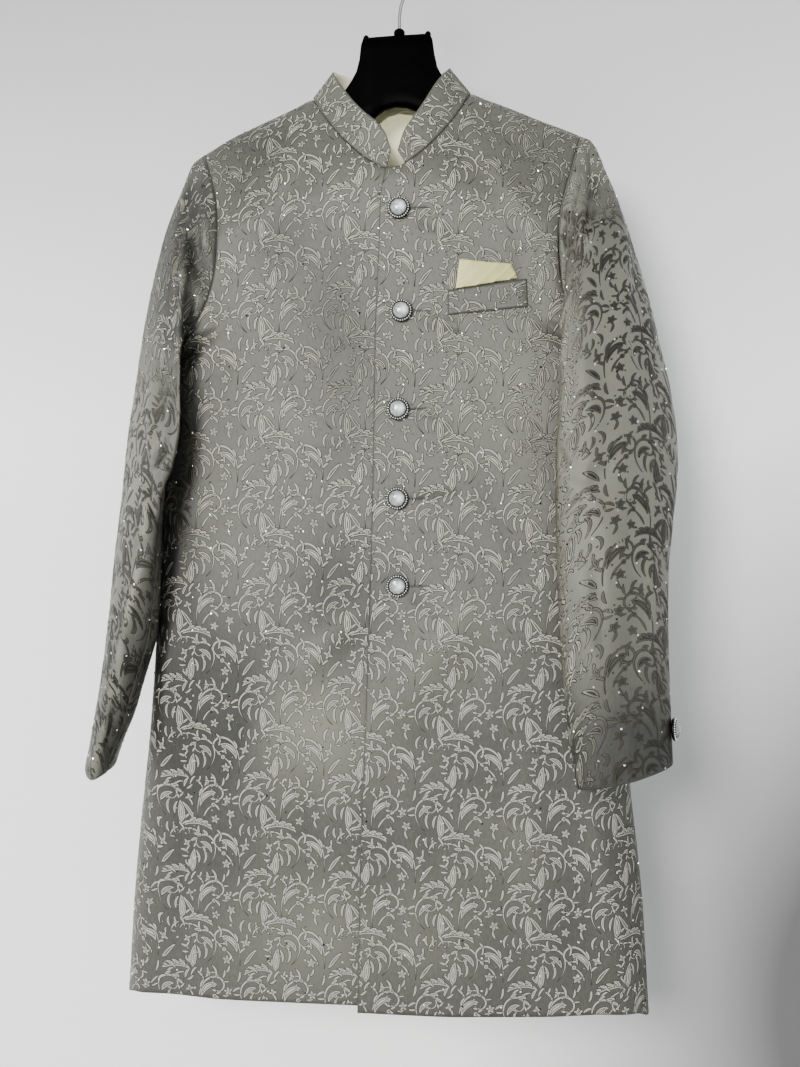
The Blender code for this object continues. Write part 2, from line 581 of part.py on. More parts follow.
rightLoop = armholeLoop(underGrid, backLeft)
leftLoop = armholeLoop(overGrid, backRight)
rightSleeve = sleeveGrid(rightLoop, RIGHT_SLEEVE_ROWS, RING_SHARES, SLEEVE_FOLDS["right"])
leftSleeve = sleeveGrid(leftLoop, LEFT_SLEEVE_ROWS, RING_SHARES, SLEEVE_FOLDS["left"])

# ---- collar ----
def wayAlong(points):
    steps = np.linalg.norm(np.diff(points, axis=0), axis=1)
    return np.concatenate([[0], np.cumsum(steps)]) / steps.sum()


underNeck = underGrid[0, COLLAR_FROM:8]
backNeckLine = backGrid[0, SHOULDER_COUNT:SHOULDER_COUNT + 9]
overNeck = overGrid[0, COLLAR_FROM:8][::-1]
collarBase = np.concatenate([underNeck, backNeckLine[1:], overNeck[1:]])
collarShare = np.concatenate([wayAlong(underNeck) * 0.35,
                              0.35 + wayAlong(backNeckLine)[1:] * 0.30,
                              0.65 + wayAlong(overNeck)[1:] * 0.35])
collarX, collarY, collarDrop = columnCurves(COLLAR_TOP_ROWS)
collarTop = np.stack([collarX(collarShare), collarY(collarShare), -collarDrop(collarShare)], axis=1)
COLLAR_ROWS = 5
collarGrid = np.zeros((COLLAR_ROWS, len(collarBase), 3))
for r in range(COLLAR_ROWS):
    t = 1 - r / (COLLAR_ROWS - 1)
    collarGrid[r] = collarBase + (collarTop - collarBase) * t

# ---- inner surfaces ----
normals = {}
addNormals(normals, underGrid, True)
addNormals(normals, overGrid, False)
addNormals(normals, backGrid, True)
addNormals(normals, rightSleeve, False, closed=True)
addNormals(normals, leftSleeve, True, closed=True)
addNormals(normals, collarGrid, True)
underInner = innerGrid(normals, underGrid, CLOTH)
overInner = innerGrid(normals, overGrid, CLOTH)
backInner = innerGrid(normals, backGrid, CLOTH)
rightInner = innerGrid(normals, rightSleeve, SLEEVE_CLOTH)
leftInner = innerGrid(normals, leftSleeve, SLEEVE_CLOTH)
collarInner = innerGrid(normals, collarGrid, CLOTH)

halfSeam = SEAM / 2
ventGap = np.array([0.0012 * float(smooth((-p[2] - VENT_TOP) / 0.12)) for p in overGrid[:, -1]])
for outer, inner in ((underGrid, underInner), (overGrid, overInner)):
    pullEdge(outer, inner, "top", halfSeam)
    pullEdge(outer, inner, "last", halfSeam + ventGap)
pullEdge(backGrid, backInner, "top", halfSeam)
pullEdge(backGrid, backInner, "first", halfSeam)
pullEdge(backGrid, backInner, "last", halfSeam)
pullEdge(collarGrid, collarInner, "bottom", halfSeam)
for outer, inner in ((rightSleeve, rightInner), (leftSleeve, leftInner)):
    pullEdge(outer, inner, "top", halfSeam + 0.0002)

wallSolid("front_under", underGrid, underInner, BROCADE)
overFront = wallSolid("front_over", overGrid, overInner, BROCADE)
wallSolid("back", backGrid, backInner, BROCADE)
wallSolid("collar_band", collarGrid, collarInner, BROCADE)

# Each sleeve is cut in two: the under sleeve takes these columns of its rings.
UNDER_FROM = 9
UNDER_TO = 17
for name, outer, inner in (("sleeve_right", rightSleeve, rightInner),
                           ("sleeve_left", leftSleeve, leftInner)):
    count = outer.shape[1]
    under = list(range(UNDER_FROM, UNDER_TO + 1))
    top = [c % count for c in range(UNDER_TO, UNDER_FROM + count + 1)]
    for label, picks in (("under", under), ("top", top)):
        partOuter = outer[:, picks].copy()
        partInner = inner[:, picks].copy()
        pullEdge(partOuter, partInner, "first", halfSeam)
        pullEdge(partOuter, partInner, "last", halfSeam)
        wallSolid(name + "_" + label, partOuter, partInner, BROCADE)

# ---- linings, only where they show ----
toLining = collarInner - collarGrid
toLining = toLining / np.linalg.norm(toLining, axis=-1, keepdims=True)
liningOuter = collarInner + toLining * 0.0006
liningInner = collarInner + toLining * (0.0006 + LINING_CLOTH)
pullEdge(liningOuter, liningInner, "top", 0.0015)
pullEdge(liningOuter, liningInner, "first", 0.0012)
pullEdge(liningOuter, liningInner, "last", 0.0012)
pullEdge(liningOuter, liningInner, "bottom", 0.0008)
wallSolid("collar_lining", liningOuter, liningInner, LINING)

YOKE_COLUMNS = slice(8, 15)
YOKE_ROWS = 8
yokeTo = backInner[:YOKE_ROWS, YOKE_COLUMNS] - backGrid[:YOKE_ROWS, YOKE_COLUMNS]
yokeTo = yokeTo / np.linalg.norm(yokeTo, axis=-1, keepdims=True)
yokeOuter = backInner[:YOKE_ROWS, YOKE_COLUMNS] + yokeTo * 0.0003
yokeInner = yokeOuter + yokeTo * LINING_CLOTH
pullEdge(yokeOuter, yokeInner, "top", 0.0030)
wallSolid("back_neck_lining", yokeOuter, yokeInner, LINING)

# ---- pieces that lie on the over front ----
frontTree = BVHTree.FromPolygons([v.co.copy() for v in overFront.data.vertices],
                                 [tuple(p.vertices) for p in overFront.data.polygons])


def frontY(x, drop):
    hit = frontTree.ray_cast(Vector((x, -0.5, -drop)), Vector((0, 1, 0)))
    return hit[0].y


def patchSolid(name, corners, across, down, lift, thick, mat, rounding=0.0):
    """A four-cornered patch on the over front; corners run round from the top inner one."""
    a, b, c, d = [np.array(p) for p in corners]
    outer = np.zeros((down + 1, across + 1, 3))
    inner = np.zeros_like(outer)
    for r in range(down + 1):
        for k in range(across + 1):
            u = k / across
            v = r / down
            x, drop = (a * (1 - u) + b * u) * (1 - v) + (d * (1 - u) + c * u) * v
            y = frontY(x, drop)
            dome = rounding * math.sin(math.pi * u) * math.sin(math.pi * v)
            outer[r, k] = (x, y - lift - thick - dome, -drop)
            inner[r, k] = (x, y - lift, -drop)
    return wallSolid(name, outer, inner, mat)


patchSolid("breast_welt", WELT_CORNERS, 6, 3, 0.0005, 0.0016, BROCADE)
patchSolid("pocket_square", SQUARE_CORNERS, 6, 4, 0.0005, 0.0018, LINING, 0.0012)

# A button's outline, from the top of its dome to the middle of its back.
BUTTON_ROWS = (        # radius, height above the cloth
    (0.0000, 0.0076), (0.0050, 0.0068), (0.0082, 0.0052), (0.0100, 0.0045),
    (0.0115, 0.0026), (0.0112, 0.0012), (0.0080, 0.0000), (0.0000, 0.0000),
)
TURNED_STEPS = 16


def turnedSolid(name, rows, place, axis, mat):
    """Turn an outline of (radius, height) round its own axis."""
    mesh = bpy.data.meshes.new(name)
    edges = [(k, k + 1) for k in range(len(rows) - 1)]
    mesh.from_pydata([(radius, 0.0, height) for radius, height in rows], edges, [])
    mesh.materials.append(material(name + "_look", *mat))
    obj = bpy.data.objects.new(name, mesh)
    PARTS.objects.link(obj)
    screw = obj.modifiers.new("turn", "SCREW")
    screw.axis = "Z"
    screw.steps = TURNED_STEPS
    screw.render_steps = TURNED_STEPS
    screw.use_merge_vertices = True
    screw.merge_threshold = 0.00001
    obj.location = place
    obj.rotation_mode = "QUATERNION"
    obj.rotation_quaternion = Vector(axis).to_track_quat("Z", "Y")
    return obj


BUTTON_GAP = 0.0004
BACK_RADIUS = 0.0080
for index, (x, drop) in enumerate(zip(BUTTON_X, BUTTON_DROPS)):
    nearest = min(frontY(x + dx, drop + dz) for dx in (-BACK_RADIUS, 0, BACK_RADIUS)
                  for dz in (-BACK_RADIUS, 0, BACK_RADIUS))
    turnedSolid("button_%d" % (index + 1), BUTTON_ROWS, (x, nearest - BUTTON_GAP, -drop), (0, -1, 0), METAL)

# Cuff buttons sit on the back fold of each sleeve.
CUFF_RING = 0.925
CUFF_LIFT = 0.0010         # the sleeve rounds away under the button
BACK_FOLD = 3 * ARM_STEPS // 2 + 1
for name, outer in (("cuff_button_right", rightSleeve), ("cuff_button_left", leftSleeve)):
    ring = int(np.argmin([abs(s - CUFF_RING) for s in RING_SHARES]))
    place = outer[ring, BACK_FOLD]
    round_ = outer[ring, BACK_FOLD + 1] - outer[ring, BACK_FOLD - 1]
    way = np.cross(round_, outer[ring + 1, BACK_FOLD] - outer[ring - 1, BACK_FOLD])
    way = way / np.linalg.norm(way)
    if np.dot(way, place - outer[ring].mean(axis=0)) < 0:
        way = -way
    turnedSolid(name, BUTTON_ROWS, place + way * CUFF_LIFT, way, METAL)

# ---- hanger ----
# x, top drop, bottom drop, half depth
HANGER_ROWS = (
    (-0.1930, 0.2062, 0.2097, 0.0030), (-0.1900, 0.2003, 0.2153, 0.0070),
    (-0.1820, 0.1956, 0.2156, 0.0085), (-0.1600, 0.1862, 0.2082, 0.0088),
    (-0.1300, 0.1738, 0.1978, 0.0088), (-0.1050, 0.1631, 0.1891, 0.0085),
    (-0.0929, 0.1578, 0.1853, 0.0082), (-0.0820, 0.1600, 0.1850, 0.0078),
    (-0.0680, 0.1560, 0.1850, 0.0078), (-0.0565, 0.1440, 0.1860, 0.0080),
    (-0.0505, 0.1351, 0.1860, 0.0080), (-0.0450, 0.1250, 0.1850, 0.0080),
    (-0.0417, 0.1115, 0.1830, 0.0080), (-0.0400, 0.0960, 0.1820, 0.0080),
    (-0.0375, 0.0890, 0.1810, 0.0080), (-0.0285, 0.0886, 0.1775, 0.0085),
    (-0.0150, 0.0882, 0.1672, 0.0085), (-0.0025, 0.0880, 0.1644, 0.0085),
    (0.0100, 0.0878, 0.1660, 0.0085), (0.0230, 0.0876, 0.1716, 0.0085),
    (0.0350, 0.0874, 0.1780, 0.0080), (0.0378, 0.0945, 0.1790, 0.0080),
    (0.0400, 0.1100, 0.1800, 0.0080), (0.0430, 0.1240, 0.1810, 0.0080),
    (0.0490, 0.1360, 0.1820, 0.0080), (0.0560, 0.1490, 0.1830, 0.0080),
    (0.0680, 0.1620, 0.1850, 0.0078), (0.0788, 0.1590, 0.1865, 0.0082),
    (0.0950, 0.1654, 0.1914, 0.0085), (0.1200, 0.1755, 0.1995, 0.0088),
    (0.1450, 0.1868, 0.2088, 0.0088), (0.1640, 0.1952, 0.2152, 0.0085),
    (0.1720, 0.1991, 0.2141, 0.0070), (0.1750, 0.2047, 0.2082, 0.0030),
)
HANGER_STEPS = 14
hangerVerts = []
for x, top, bottom, depth in HANGER_ROWS:
    for k in range(HANGER_STEPS):
        turn = 2 * math.pi * k / HANGER_STEPS
        c = math.copysign(abs(math.cos(turn)) ** 0.85, math.cos(turn))
        s = math.copysign(abs(math.sin(turn)) ** 0.85, math.sin(turn))
        hangerVerts.append((x, depth * s, -(top + bottom) / 2 + (bottom - top) / 2 * c))
hangerFaces = []
for r in range(len(HANGER_ROWS) - 1):
    for k in range(HANGER_STEPS):
        n = (k + 1) % HANGER_STEPS
        hangerFaces.append((r * HANGER_STEPS + k, r * HANGER_STEPS + n,
                            (r + 1) * HANGER_STEPS + n, (r + 1) * HANGER_STEPS + k))
hangerFaces.append(tuple(range(HANGER_STEPS)))
hangerFaces.append(tuple(range(len(hangerVerts) - HANGER_STEPS, len(hangerVerts))))
addSolid("hanger_body", hangerVerts, hangerFaces, PLASTIC)

# ---- hook: a wire up from the block, round to the left end ----
STEM_X = 0.0015
BOSS_RADIUS = 0.0060
BOSS_BASE = 0.0876
BOSS_TOP = 0.0813
hookRing = HOOK_RADIUS + WIRE_RADIUS
centreDrop = HOOK_RADIUS
# x, drop of the stem, which then runs into the round
path = [(STEM_X, BOSS_TOP - SEAM), (STEM_X, 0.0700), (STEM_X + 0.0005, 0.0635),
        (STEM_X + 0.0016, 0.0560), (STEM_X + 0.0038, 0.0490), (STEM_X + 0.0078, 0.0430),
        (STEM_X + 0.0125, 0.0375)]
ROUND_FROM = -32
ROUND_TO = 196
ROUND_STEPS = 18
for k in range(ROUND_STEPS + 1):
    turn = math.radians(ROUND_FROM + k * (ROUND_TO - ROUND_FROM) / ROUND_STEPS)
    path.append((hookRing * math.cos(turn), centreDrop - hookRing * math.sin(turn)))
wireCurve = bpy.data.curves.new("hanger_hook", "CURVE")
wireCurve.dimensions = "3D"
wireCurve.bevel_depth = WIRE_RADIUS
wireCurve.bevel_resolution = 4
wireCurve.use_fill_caps = True
wireLine = wireCurve.splines.new("POLY")
wireLine.points.add(len(path) - 1)
for point, (x, drop) in zip(wireLine.points, path):
    point.co = (x, 0.0, -drop, 1.0)
wireCurve.materials.append(material("hanger_hook_look", *METAL))
PARTS.objects.link(bpy.data.objects.new("hanger_hook", wireCurve))

# the boss the hook turns in, standing on the block
BOSS_ROWS = (          # radius, height above its base
    (0.0, BOSS_BASE - BOSS_TOP), (BOSS_RADIUS * 0.72, BOSS_BASE - BOSS_TOP),
    (BOSS_RADIUS, BOSS_BASE - BOSS_TOP - 0.0019), (BOSS_RADIUS, 0.0), (0.0, 0.0),
)
turnedSolid("hanger_boss", BOSS_ROWS, (STEM_X, 0.0, -BOSS_BASE), (0, 0, 1), PLASTIC)
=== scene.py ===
import math

import bmesh
import bpy
import numpy as np
from mathutils import Matrix, Vector
from mathutils.bvhtree import BVHTree


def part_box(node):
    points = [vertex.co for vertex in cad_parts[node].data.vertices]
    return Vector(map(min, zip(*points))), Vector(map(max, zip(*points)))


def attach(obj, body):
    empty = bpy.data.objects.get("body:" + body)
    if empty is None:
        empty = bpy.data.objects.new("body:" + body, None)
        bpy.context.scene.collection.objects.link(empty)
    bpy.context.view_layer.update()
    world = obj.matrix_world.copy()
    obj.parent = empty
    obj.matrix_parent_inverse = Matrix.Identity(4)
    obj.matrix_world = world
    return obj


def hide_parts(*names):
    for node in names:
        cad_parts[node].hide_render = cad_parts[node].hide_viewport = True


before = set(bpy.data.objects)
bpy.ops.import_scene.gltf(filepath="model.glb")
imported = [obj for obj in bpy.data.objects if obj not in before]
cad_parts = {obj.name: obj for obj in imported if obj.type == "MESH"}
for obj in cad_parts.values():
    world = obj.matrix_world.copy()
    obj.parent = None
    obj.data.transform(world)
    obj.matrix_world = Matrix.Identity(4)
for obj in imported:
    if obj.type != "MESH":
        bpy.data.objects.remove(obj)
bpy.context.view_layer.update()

# sizes shared by the whole coat, in metres
coat = {
    "wall": 0.0012,
    "sleeveWall": 0.0011,
    "rowsDown": 172,
    "frontColumns": 72,
    "backColumns": 128,
    "sleeveRings": 132,
    "sleeveTopColumns": 60,
    "sleeveUnderColumns": 32,
    "collarRows": 16,
    "collarColumns": 108,
    "seamDip": 0.0011,
    "seamDipWidth": 0.0050,
    "buttonDrops": (0.2956, 0.4007, 0.5007, 0.5922, 0.6818),
    "buttonX": (0.0070, 0.0095, 0.0062, 0.0051, 0.0053),
}
underarmDrop = 0.428


# rows given in millimetres, apart from the columns named as plain numbers
def metres(rows, plain=()):
    return [tuple(v if k in plain else v / 1000 for k, v in enumerate(row)) for row in rows]


# body form: half outline and depth at each drop
# drop, left edge, left turn, right turn, right edge, front depth, back depth
bodyRows = metres((
    (120, -236, -150, 120, 214, 58, 54), (300, -243, -175, 145, 220, 60, 47),
    (428, -251, -205, 160, 228, 60, 46), (500, -261, -214, 159, 235, 58, 46),
    (600, -265, -218, 155, 238, 57, 45), (700, -266, -227, 152, 240, 56, 43),
    (800, -270, -245, 160, 243, 54, 41), (900, -280, -252, 190, 249, 51, 38),
    (1000, -290, -262, 218, 260, 48, 35), (1145, -300.5, -268, 232, 268.5, 45, 31),
))
# x, drop of the shoulder line, carried on across the neck and past the tips
shoulderRows = metres((
    (-300, 262), (-214.8, 208.4), (-206.9, 203.7), (-182, 190), (-151.6, 177.4), (-114.7, 161.9),
    (-92.9, 152.4), (-50, 134), (-7, 126), (36, 134), (78.8, 153.6), (110.3, 166), (152.9, 184.9),
    (196.2, 203.8), (280, 256),
))
# share from shoulder tip to underarm, x, drop
# the wearer's right, at -X
rightArmholeRows = metres((
    (0.0, -214.8, 208.4), (0.1, -204.9, 233), (0.2, -195, 260), (0.3, -188.2, 290), (0.4, -186, 317),
    (0.5, -186.8, 343), (0.6, -191.5, 368), (0.7, -201, 393), (0.8, -215, 413), (0.9, -232.5, 424.5),
    (1.0, -251.5, 428),
), plain=(0,))
leftArmholeRows = metres((
    (0.0, 196.2, 203.8), (0.1, 189, 228.5), (0.2, 182.2, 255), (0.3, 174.5, 284), (0.4, 169.8, 313),
    (0.5, 169, 340), (0.6, 172.2, 366), (0.7, 180, 391), (0.8, 192.5, 412), (0.9, 209, 424.5),
    (1.0, 228.5, 428),
), plain=(0,))
# x, drop of the neck seam on the fronts; the last row is the neck point
rightNeckRows = metres((
    (26, 256), (11, 258), (-6.1, 252.3), (-18, 246.5), (-33, 235.2), (-46, 222.5), (-58, 208.5),
    (-70, 192), (-81.6, 174), (-92.9, 152.4),
))
leftNeckRows = metres((
    (-7, 252.4), (4, 251.2), (13, 248.2), (23.5, 240.3), (35, 229.5), (46, 217.2), (56, 203), (65, 188.5),
    (72.2, 172.5), (78.8, 153.6),
))
# x, drop of the neck seam on the back, between the two neck points
backNeckRows = metres((
    (-92.9, 152.4), (-72, 152.8), (-43, 151.5), (-7, 150.8), (29, 151.5), (58, 153.2), (78.8, 153.6),
))
# drop, x of the over front's edge
edgeRows = metres((
    (240, -6.2), (252.4, -7), (275.4, -11.3), (345.9, -14.4), (423.7, -18), (503.3, -19.6),
    (605.9, -21.5), (745.9, -25.9), (903.8, -32.2), (1034.8, -36.5), (1140, -38),
))
# x, drop of the hem: under front, over front, back
underHemRows = metres((
    (-300.5, 1134), (-290, 1125), (-275, 1119.5), (-247, 1118.7), (-178, 1121.5), (30, 1120.3),
))
overHemRows = metres((
    (-40, 1127.1), (64, 1127.5), (161, 1124), (225, 1119.5), (245, 1120), (260, 1128), (268.5, 1136),
))
backHemRows = metres((
    (-300.5, 1134), (-260, 1129), (-15, 1126), (230, 1130), (268.5, 1136),
))

# folds in the body cloth, each a soft line from one end to the other:
# side (-1 front, 1 back), x0, drop0, x1, drop1, half width, rise out of the cloth
foldRows = metres((
    (-1, 82, 690, -22, 835, 16, 3.4), (-1, 104, 730, 20, 885, 18, -2.6),
    (-1, 120, 300, 168, 470, 12, -2.2), (-1, -150, 300, -205, 470, 12, -2.2),
    (-1, -120, 640, -190, 860, 18, 2.2), (-1, 60, 900, 100, 1130, 24, 3),
    (-1, -150, 880, -165, 1130, 26, 2.8), (-1, 175, 850, 195, 1130, 20, -2.6),
    (1, -10, 230, -15, 600, 26, -3), (1, -120, 640, -160, 1120, 26, 3.4),
    (1, 110, 660, 150, 1130, 24, 3.2), (1, -15, 700, -20, 1125, 30, -3),
    (1, 150, 270, 185, 430, 14, -2.2), (1, -165, 270, -205, 430, 14, -2.2),
), plain=(0,))

# sleeve rings, from the armhole to the cuff: the share down the sleeve, then four points as x, y, drop,
# the outer and inner ones and those at the front and back folds
# the wearer's right, seen edge-on, folds point front and back
rightSleeveRows = metres((
    (0.06, -229.5, 0, 224, -258.5, -4, 425.5, -204, -56, 342, -214, 46, 330),
    (0.12, -239, -4, 250, -265.5, -6, 435, -211, -66, 358, -229, 46, 348),
    (0.2, -254, -12, 295, -269, -8, 455, -214, -77, 386, -246, 44, 376),
    (0.28, -265.5, -20, 350, -267, -14, 480, -215, -86, 424, -264, 40, 412),
    (0.36, -274.5, -28, 410, -259, -26, 505, -214, -92, 466, -280, 34, 454),
    (0.43, -280, -34, 465, -248, -43, 528, -217, -96, 504, -289, 28, 496),
    (0.5, -286.5, -38, 518, -246, -49, 550, -226, -100, 539, -297, 24, 535),
    (0.56, -290.5, -40, 562, -254.5, -46, 582, -235, -101, 576, -302, 22, 574),
    (0.64, -297.5, -40, 620, -254.8, -44, 633, -248, -103, 630, -306, 24, 628),
    (0.73, -306, -40, 685, -255.5, -38, 693, -259, -104, 693, -311, 26, 690),
    (0.82, -311, -42, 748, -263.5, -38, 753, -271, -104, 754, -314, 22, 750),
    (0.91, -319, -46, 813, -279.5, -40, 820, -285, -103, 818, -320, 12, 815),
    (1.0, -330, -50, 872, -300, -42, 876, -297.5, -101, 880.5, -333, 4, 871),
), plain=(0,))
# the wearer's left, seen flat, in front of the body's side
leftSleeveRows = metres((
    (0.06, 210.5, -2, 216, 237, -6, 425, 176, -58, 364, 206, 46, 330),
    (0.12, 219, -10, 242, 244, -10, 434, 174, -68, 390, 222, 44, 350),
    (0.2, 231, -26, 285, 250, -16, 454, 171, -78, 418, 244, 36, 380),
    (0.28, 238, -48, 345, 251, -18, 482, 169.2, -86, 452, 265.5, 22, 418),
    (0.36, 236, -70, 405, 250, -26, 506, 167.2, -88, 486, 280, 4, 460),
    (0.43, 233, -86, 466, 248, -34, 528, 165.6, -90, 519, 290, -12, 502),
    (0.5, 229, -96, 525, 244, -42, 554, 164, -90, 552, 293.2, -24, 545),
    (0.56, 226, -102, 578, 240, -50, 590, 163.4, -89, 590, 289.5, -32, 588),
    (0.64, 223, -108, 637, 234, -56, 643, 164.2, -88, 644, 283, -40, 642),
    (0.73, 222, -112, 700, 230, -60, 703, 166.8, -87, 706, 278, -48, 702),
    (0.82, 224, -114, 760, 230, -62, 761, 170.8, -86, 766, 278.5, -54, 760),
    (0.91, 228, -114, 817, 233, -64, 817, 176.5, -85, 826, 280, -58, 814),
    (1.0, 234, -110, 865, 238, -66, 865, 185, -84, 878, 281.2, -62, 856),
), plain=(0,))
# folds round a sleeve: share down it and turn in degrees at each end, half width, rise
sleeveTurnedFolds = {
    "right": metres((
        (0.1, 40, 0.4, 120, 16, 3.6), (0.05, 75, 0.26, 140, 12, -3), (0.46, 150, 0.56, 100, 12, 4),
        (0.6, 60, 0.9, 70, 12, -1.8), (0.1, 300, 0.42, 250, 16, 3),
    ), plain=(0, 1, 2, 3)),
    "left": metres((
        (0.06, 8, 0.3, 62, 12, -3.4), (0.1, 350, 0.34, 38, 14, 3), (0.46, 70, 0.56, 20, 14, 2.8),
        (0.55, 350, 0.9, 355, 14, -1.8), (0.1, 300, 0.42, 240, 16, 3),
    ), plain=(0, 1, 2, 3)),
}

# collar band: share from the wearer's right end round the back to the left end, then x, y, drop
# of its top edge
collarTopRows = metres((
    (0.0, -1.8, -57.5, 234.9), (0.032, -4, -56, 224), (0.077, -11, -53, 208.5), (0.163, -29, -44, 189),
    (0.23, -42, -36, 173.5), (0.287, -53, -26, 157.5), (0.35, -70.9, -3, 124.7), (0.42, -56, 28, 118),
    (0.5, -7, 43, 117), (0.58, 43, 28, 118.5), (0.65, 56.6, -3, 126.2), (0.713, 48.5, -22, 141),
    (0.77, 40, -33, 160), (0.837, 29, -42, 181), (0.923, 15.5, -51.5, 205.5), (0.968, 8, -56, 221),
    (1.0, 5.4, -58.5, 234.5),
), plain=(0,))


# a curve through the values that never swings past them; each value is a number or a whole row of points
def smoothCurve(xs, values):
    xs = np.asarray(xs, float)
    values = np.asarray(values, float)
    spread = (1,) * (values.ndim - 1)
    step = np.diff(xs).reshape(-1, *spread)
    slope = np.diff(values, axis=0) / step
    before = 2 * step[1:] + step[:-1]
    after = step[1:] + 2 * step[:-1]
    same = slope[:-1] * slope[1:] > 0
    low, high = np.where(same, slope[:-1], 1.0), np.where(same, slope[1:], 1.0)
    middle = np.where(same, (before + after) / (before / low + after / high), 0.0)
    tangent = np.concatenate([slope[:1], middle, slope[-1:]])

    def curve(x):
        x = np.clip(np.asarray(x, float), xs[0], xs[-1])
        k = np.clip(np.searchsorted(xs, x, side="right") - 1, 0, len(xs) - 2)
        gap = step[k]
        t = (x - xs[k] if not spread else (x - xs[k]).reshape(-1, *spread)) / gap
        return ((1 + 2 * t) * (1 - t) ** 2 * values[k] + t * (1 - t) ** 2 * gap * tangent[k]
                + t * t * (3 - 2 * t) * values[k + 1] + t * t * (t - 1) * gap * tangent[k + 1])

    return curve


def columnCurves(rows):
    table = np.array(rows)
    return [smoothCurve(table[:, 0], table[:, i]) for i in range(1, table.shape[1])]


leftEdge, leftTurn, rightTurn, rightEdge, frontDepth, backDepth = columnCurves(bodyRows)
shoulderDrop = columnCurves(shoulderRows)[0]
overEdgeX = columnCurves(edgeRows)[0]


def smooth(t):
    t = np.clip(t, 0, 1)
    return t * t * (3 - 2 * t)


# 0 up to a place and 1 past it, changing over a width: start is (place, width)
def startingAt(value, start):
    return smooth((value - start[0]) / start[1])


# how far along and across a line each place lies, and how full the line is there, fading at its ends
def fromLine(x, drop, ends, fade):
    x0, d0, x1, d1 = ends
    length = math.hypot(x1 - x0, d1 - d0)
    ux = (x1 - x0) / length
    ud = (d1 - d0) / length
    along = (x - x0) * ux + (drop - d0) * ud
    across = (x - x0) * ud - (drop - d0) * ux
    return across, smooth(along / (fade * length)) * smooth((length - along) / (fade * length))


# 1 along the middle of a soft line, fading to 0 at its sides and ends
def lineShare(x, drop, row):
    across, full = fromLine(x, drop, row[:4], 0.28)
    return full * np.exp(-(across / row[4]) ** 2)


# how the body is rounded: over the shoulder (reach down, share that turns at once) and at its sides
bodyRound = {
    "front": (0.15, 0.18),
    "back": (0.05, 0.22),
    "lip": 0.016,            # depth of the shoulder's quick turn
    "crown": 0.07,           # how much shallower the sides of the middle are
    "side": 1.7,
    "arc": 0.045,            # cloth round a side, and more where the side is wide
    "arcGain": 1.1,
    "arcEase": 0.85,
}


# how far the body is from closing at its sides: 1 across the middle, 0 at the edges
def sideClosure(x, drop):
    edge0, turn0, turn1, edge1 = leftEdge(drop), leftTurn(drop), rightTurn(drop), rightEdge(drop)
    t = np.where(x < turn0, (turn0 - x) / (turn0 - edge0),
                 np.where(x > turn1, (x - turn1) / (edge1 - turn1), 0.0))
    t = np.clip(t, 0, 1)
    middle = (turn0 + turn1) / 2
    half = (turn1 - turn0) / 2
    crown = 1 - bodyRound["crown"] * np.clip(np.abs((x - middle) / half), 0, 1) ** 2
    return (1 - t ** bodyRound["side"]) ** (1 / bodyRound["side"]) * crown


# how deep the front (side -1) or the back (side 1) lies at a place
def bodyDepth(x, drop, side):
    x = np.asarray(x, float)
    drop = np.asarray(drop, float)
    below = np.clip(drop - shoulderDrop(x), 0, None)
    reach, bead = bodyRound["front" if side < 0 else "back"]
    fall = ((1 - bead) * np.sin(math.pi / 2 * np.clip(below / reach, 0, 1))
            + bead * np.sqrt(1 - (1 - np.clip(below / bodyRound["lip"], 0, 1)) ** 2))
    depth = (frontDepth(drop) if side < 0 else backDepth(drop)) * fall
    closure = sideClosure(x, drop)
    for row in foldRows:
        if row[0] == side:
            depth = depth + row[6] * lineShare(x, drop, row[1:6]) * smooth(closure * 2)
    return side * depth * closure


def sideEnds(drop, toRight):
    if toRight:
        return rightTurn(drop), rightEdge(drop)
    return leftTurn(drop), leftEdge(drop)


# a panel runs flat from its start to the body's turn and then round an arc to the edge
def flatAndArc(drop, start, toRight):
    turn, edge = sideEnds(drop, toRight)
    return turn, edge, abs(turn - start), bodyRound["arc"] + bodyRound["arcGain"] * abs(edge - turn)


def shareAcross(x, drop, start, toRight):
    turn, edge, flat, arc = flatAndArc(drop, start, toRight)
    t = np.clip((x - turn) / (edge - turn), 0, 1)
    theta = np.arcsin(np.clip(t ** bodyRound["arcEase"], 0, 1))
    onFlat = np.clip((x - start) / (turn - start), 0, 1)
    return float((onFlat * flat + theta / (math.pi / 2) * arc) / (flat + arc))


def placeAcross(share, drop, start, toRight):
    turn, edge, flat, arc = flatAndArc(drop, start, toRight)
    way = share * (flat + arc)
    if way <= flat:
        return float(start + (turn - start) * way / flat)
    theta = min(1.0, (way - flat) / arc) * math.pi / 2
    return float(turn + (edge - turn) * math.sin(theta) ** (1 / bodyRound["arcEase"]))


# the over front lies on the under front where they lap
lap = {"rise": 0.0030, "underEdge": 0.026, "to": (0.045, 0.06), "down": 0.04}


def overRise(x, drop):
    down = smooth((drop - shoulderDrop(x)) / lap["down"])
    return lap["rise"] * (1 - startingAt(x, lap["to"])) * down


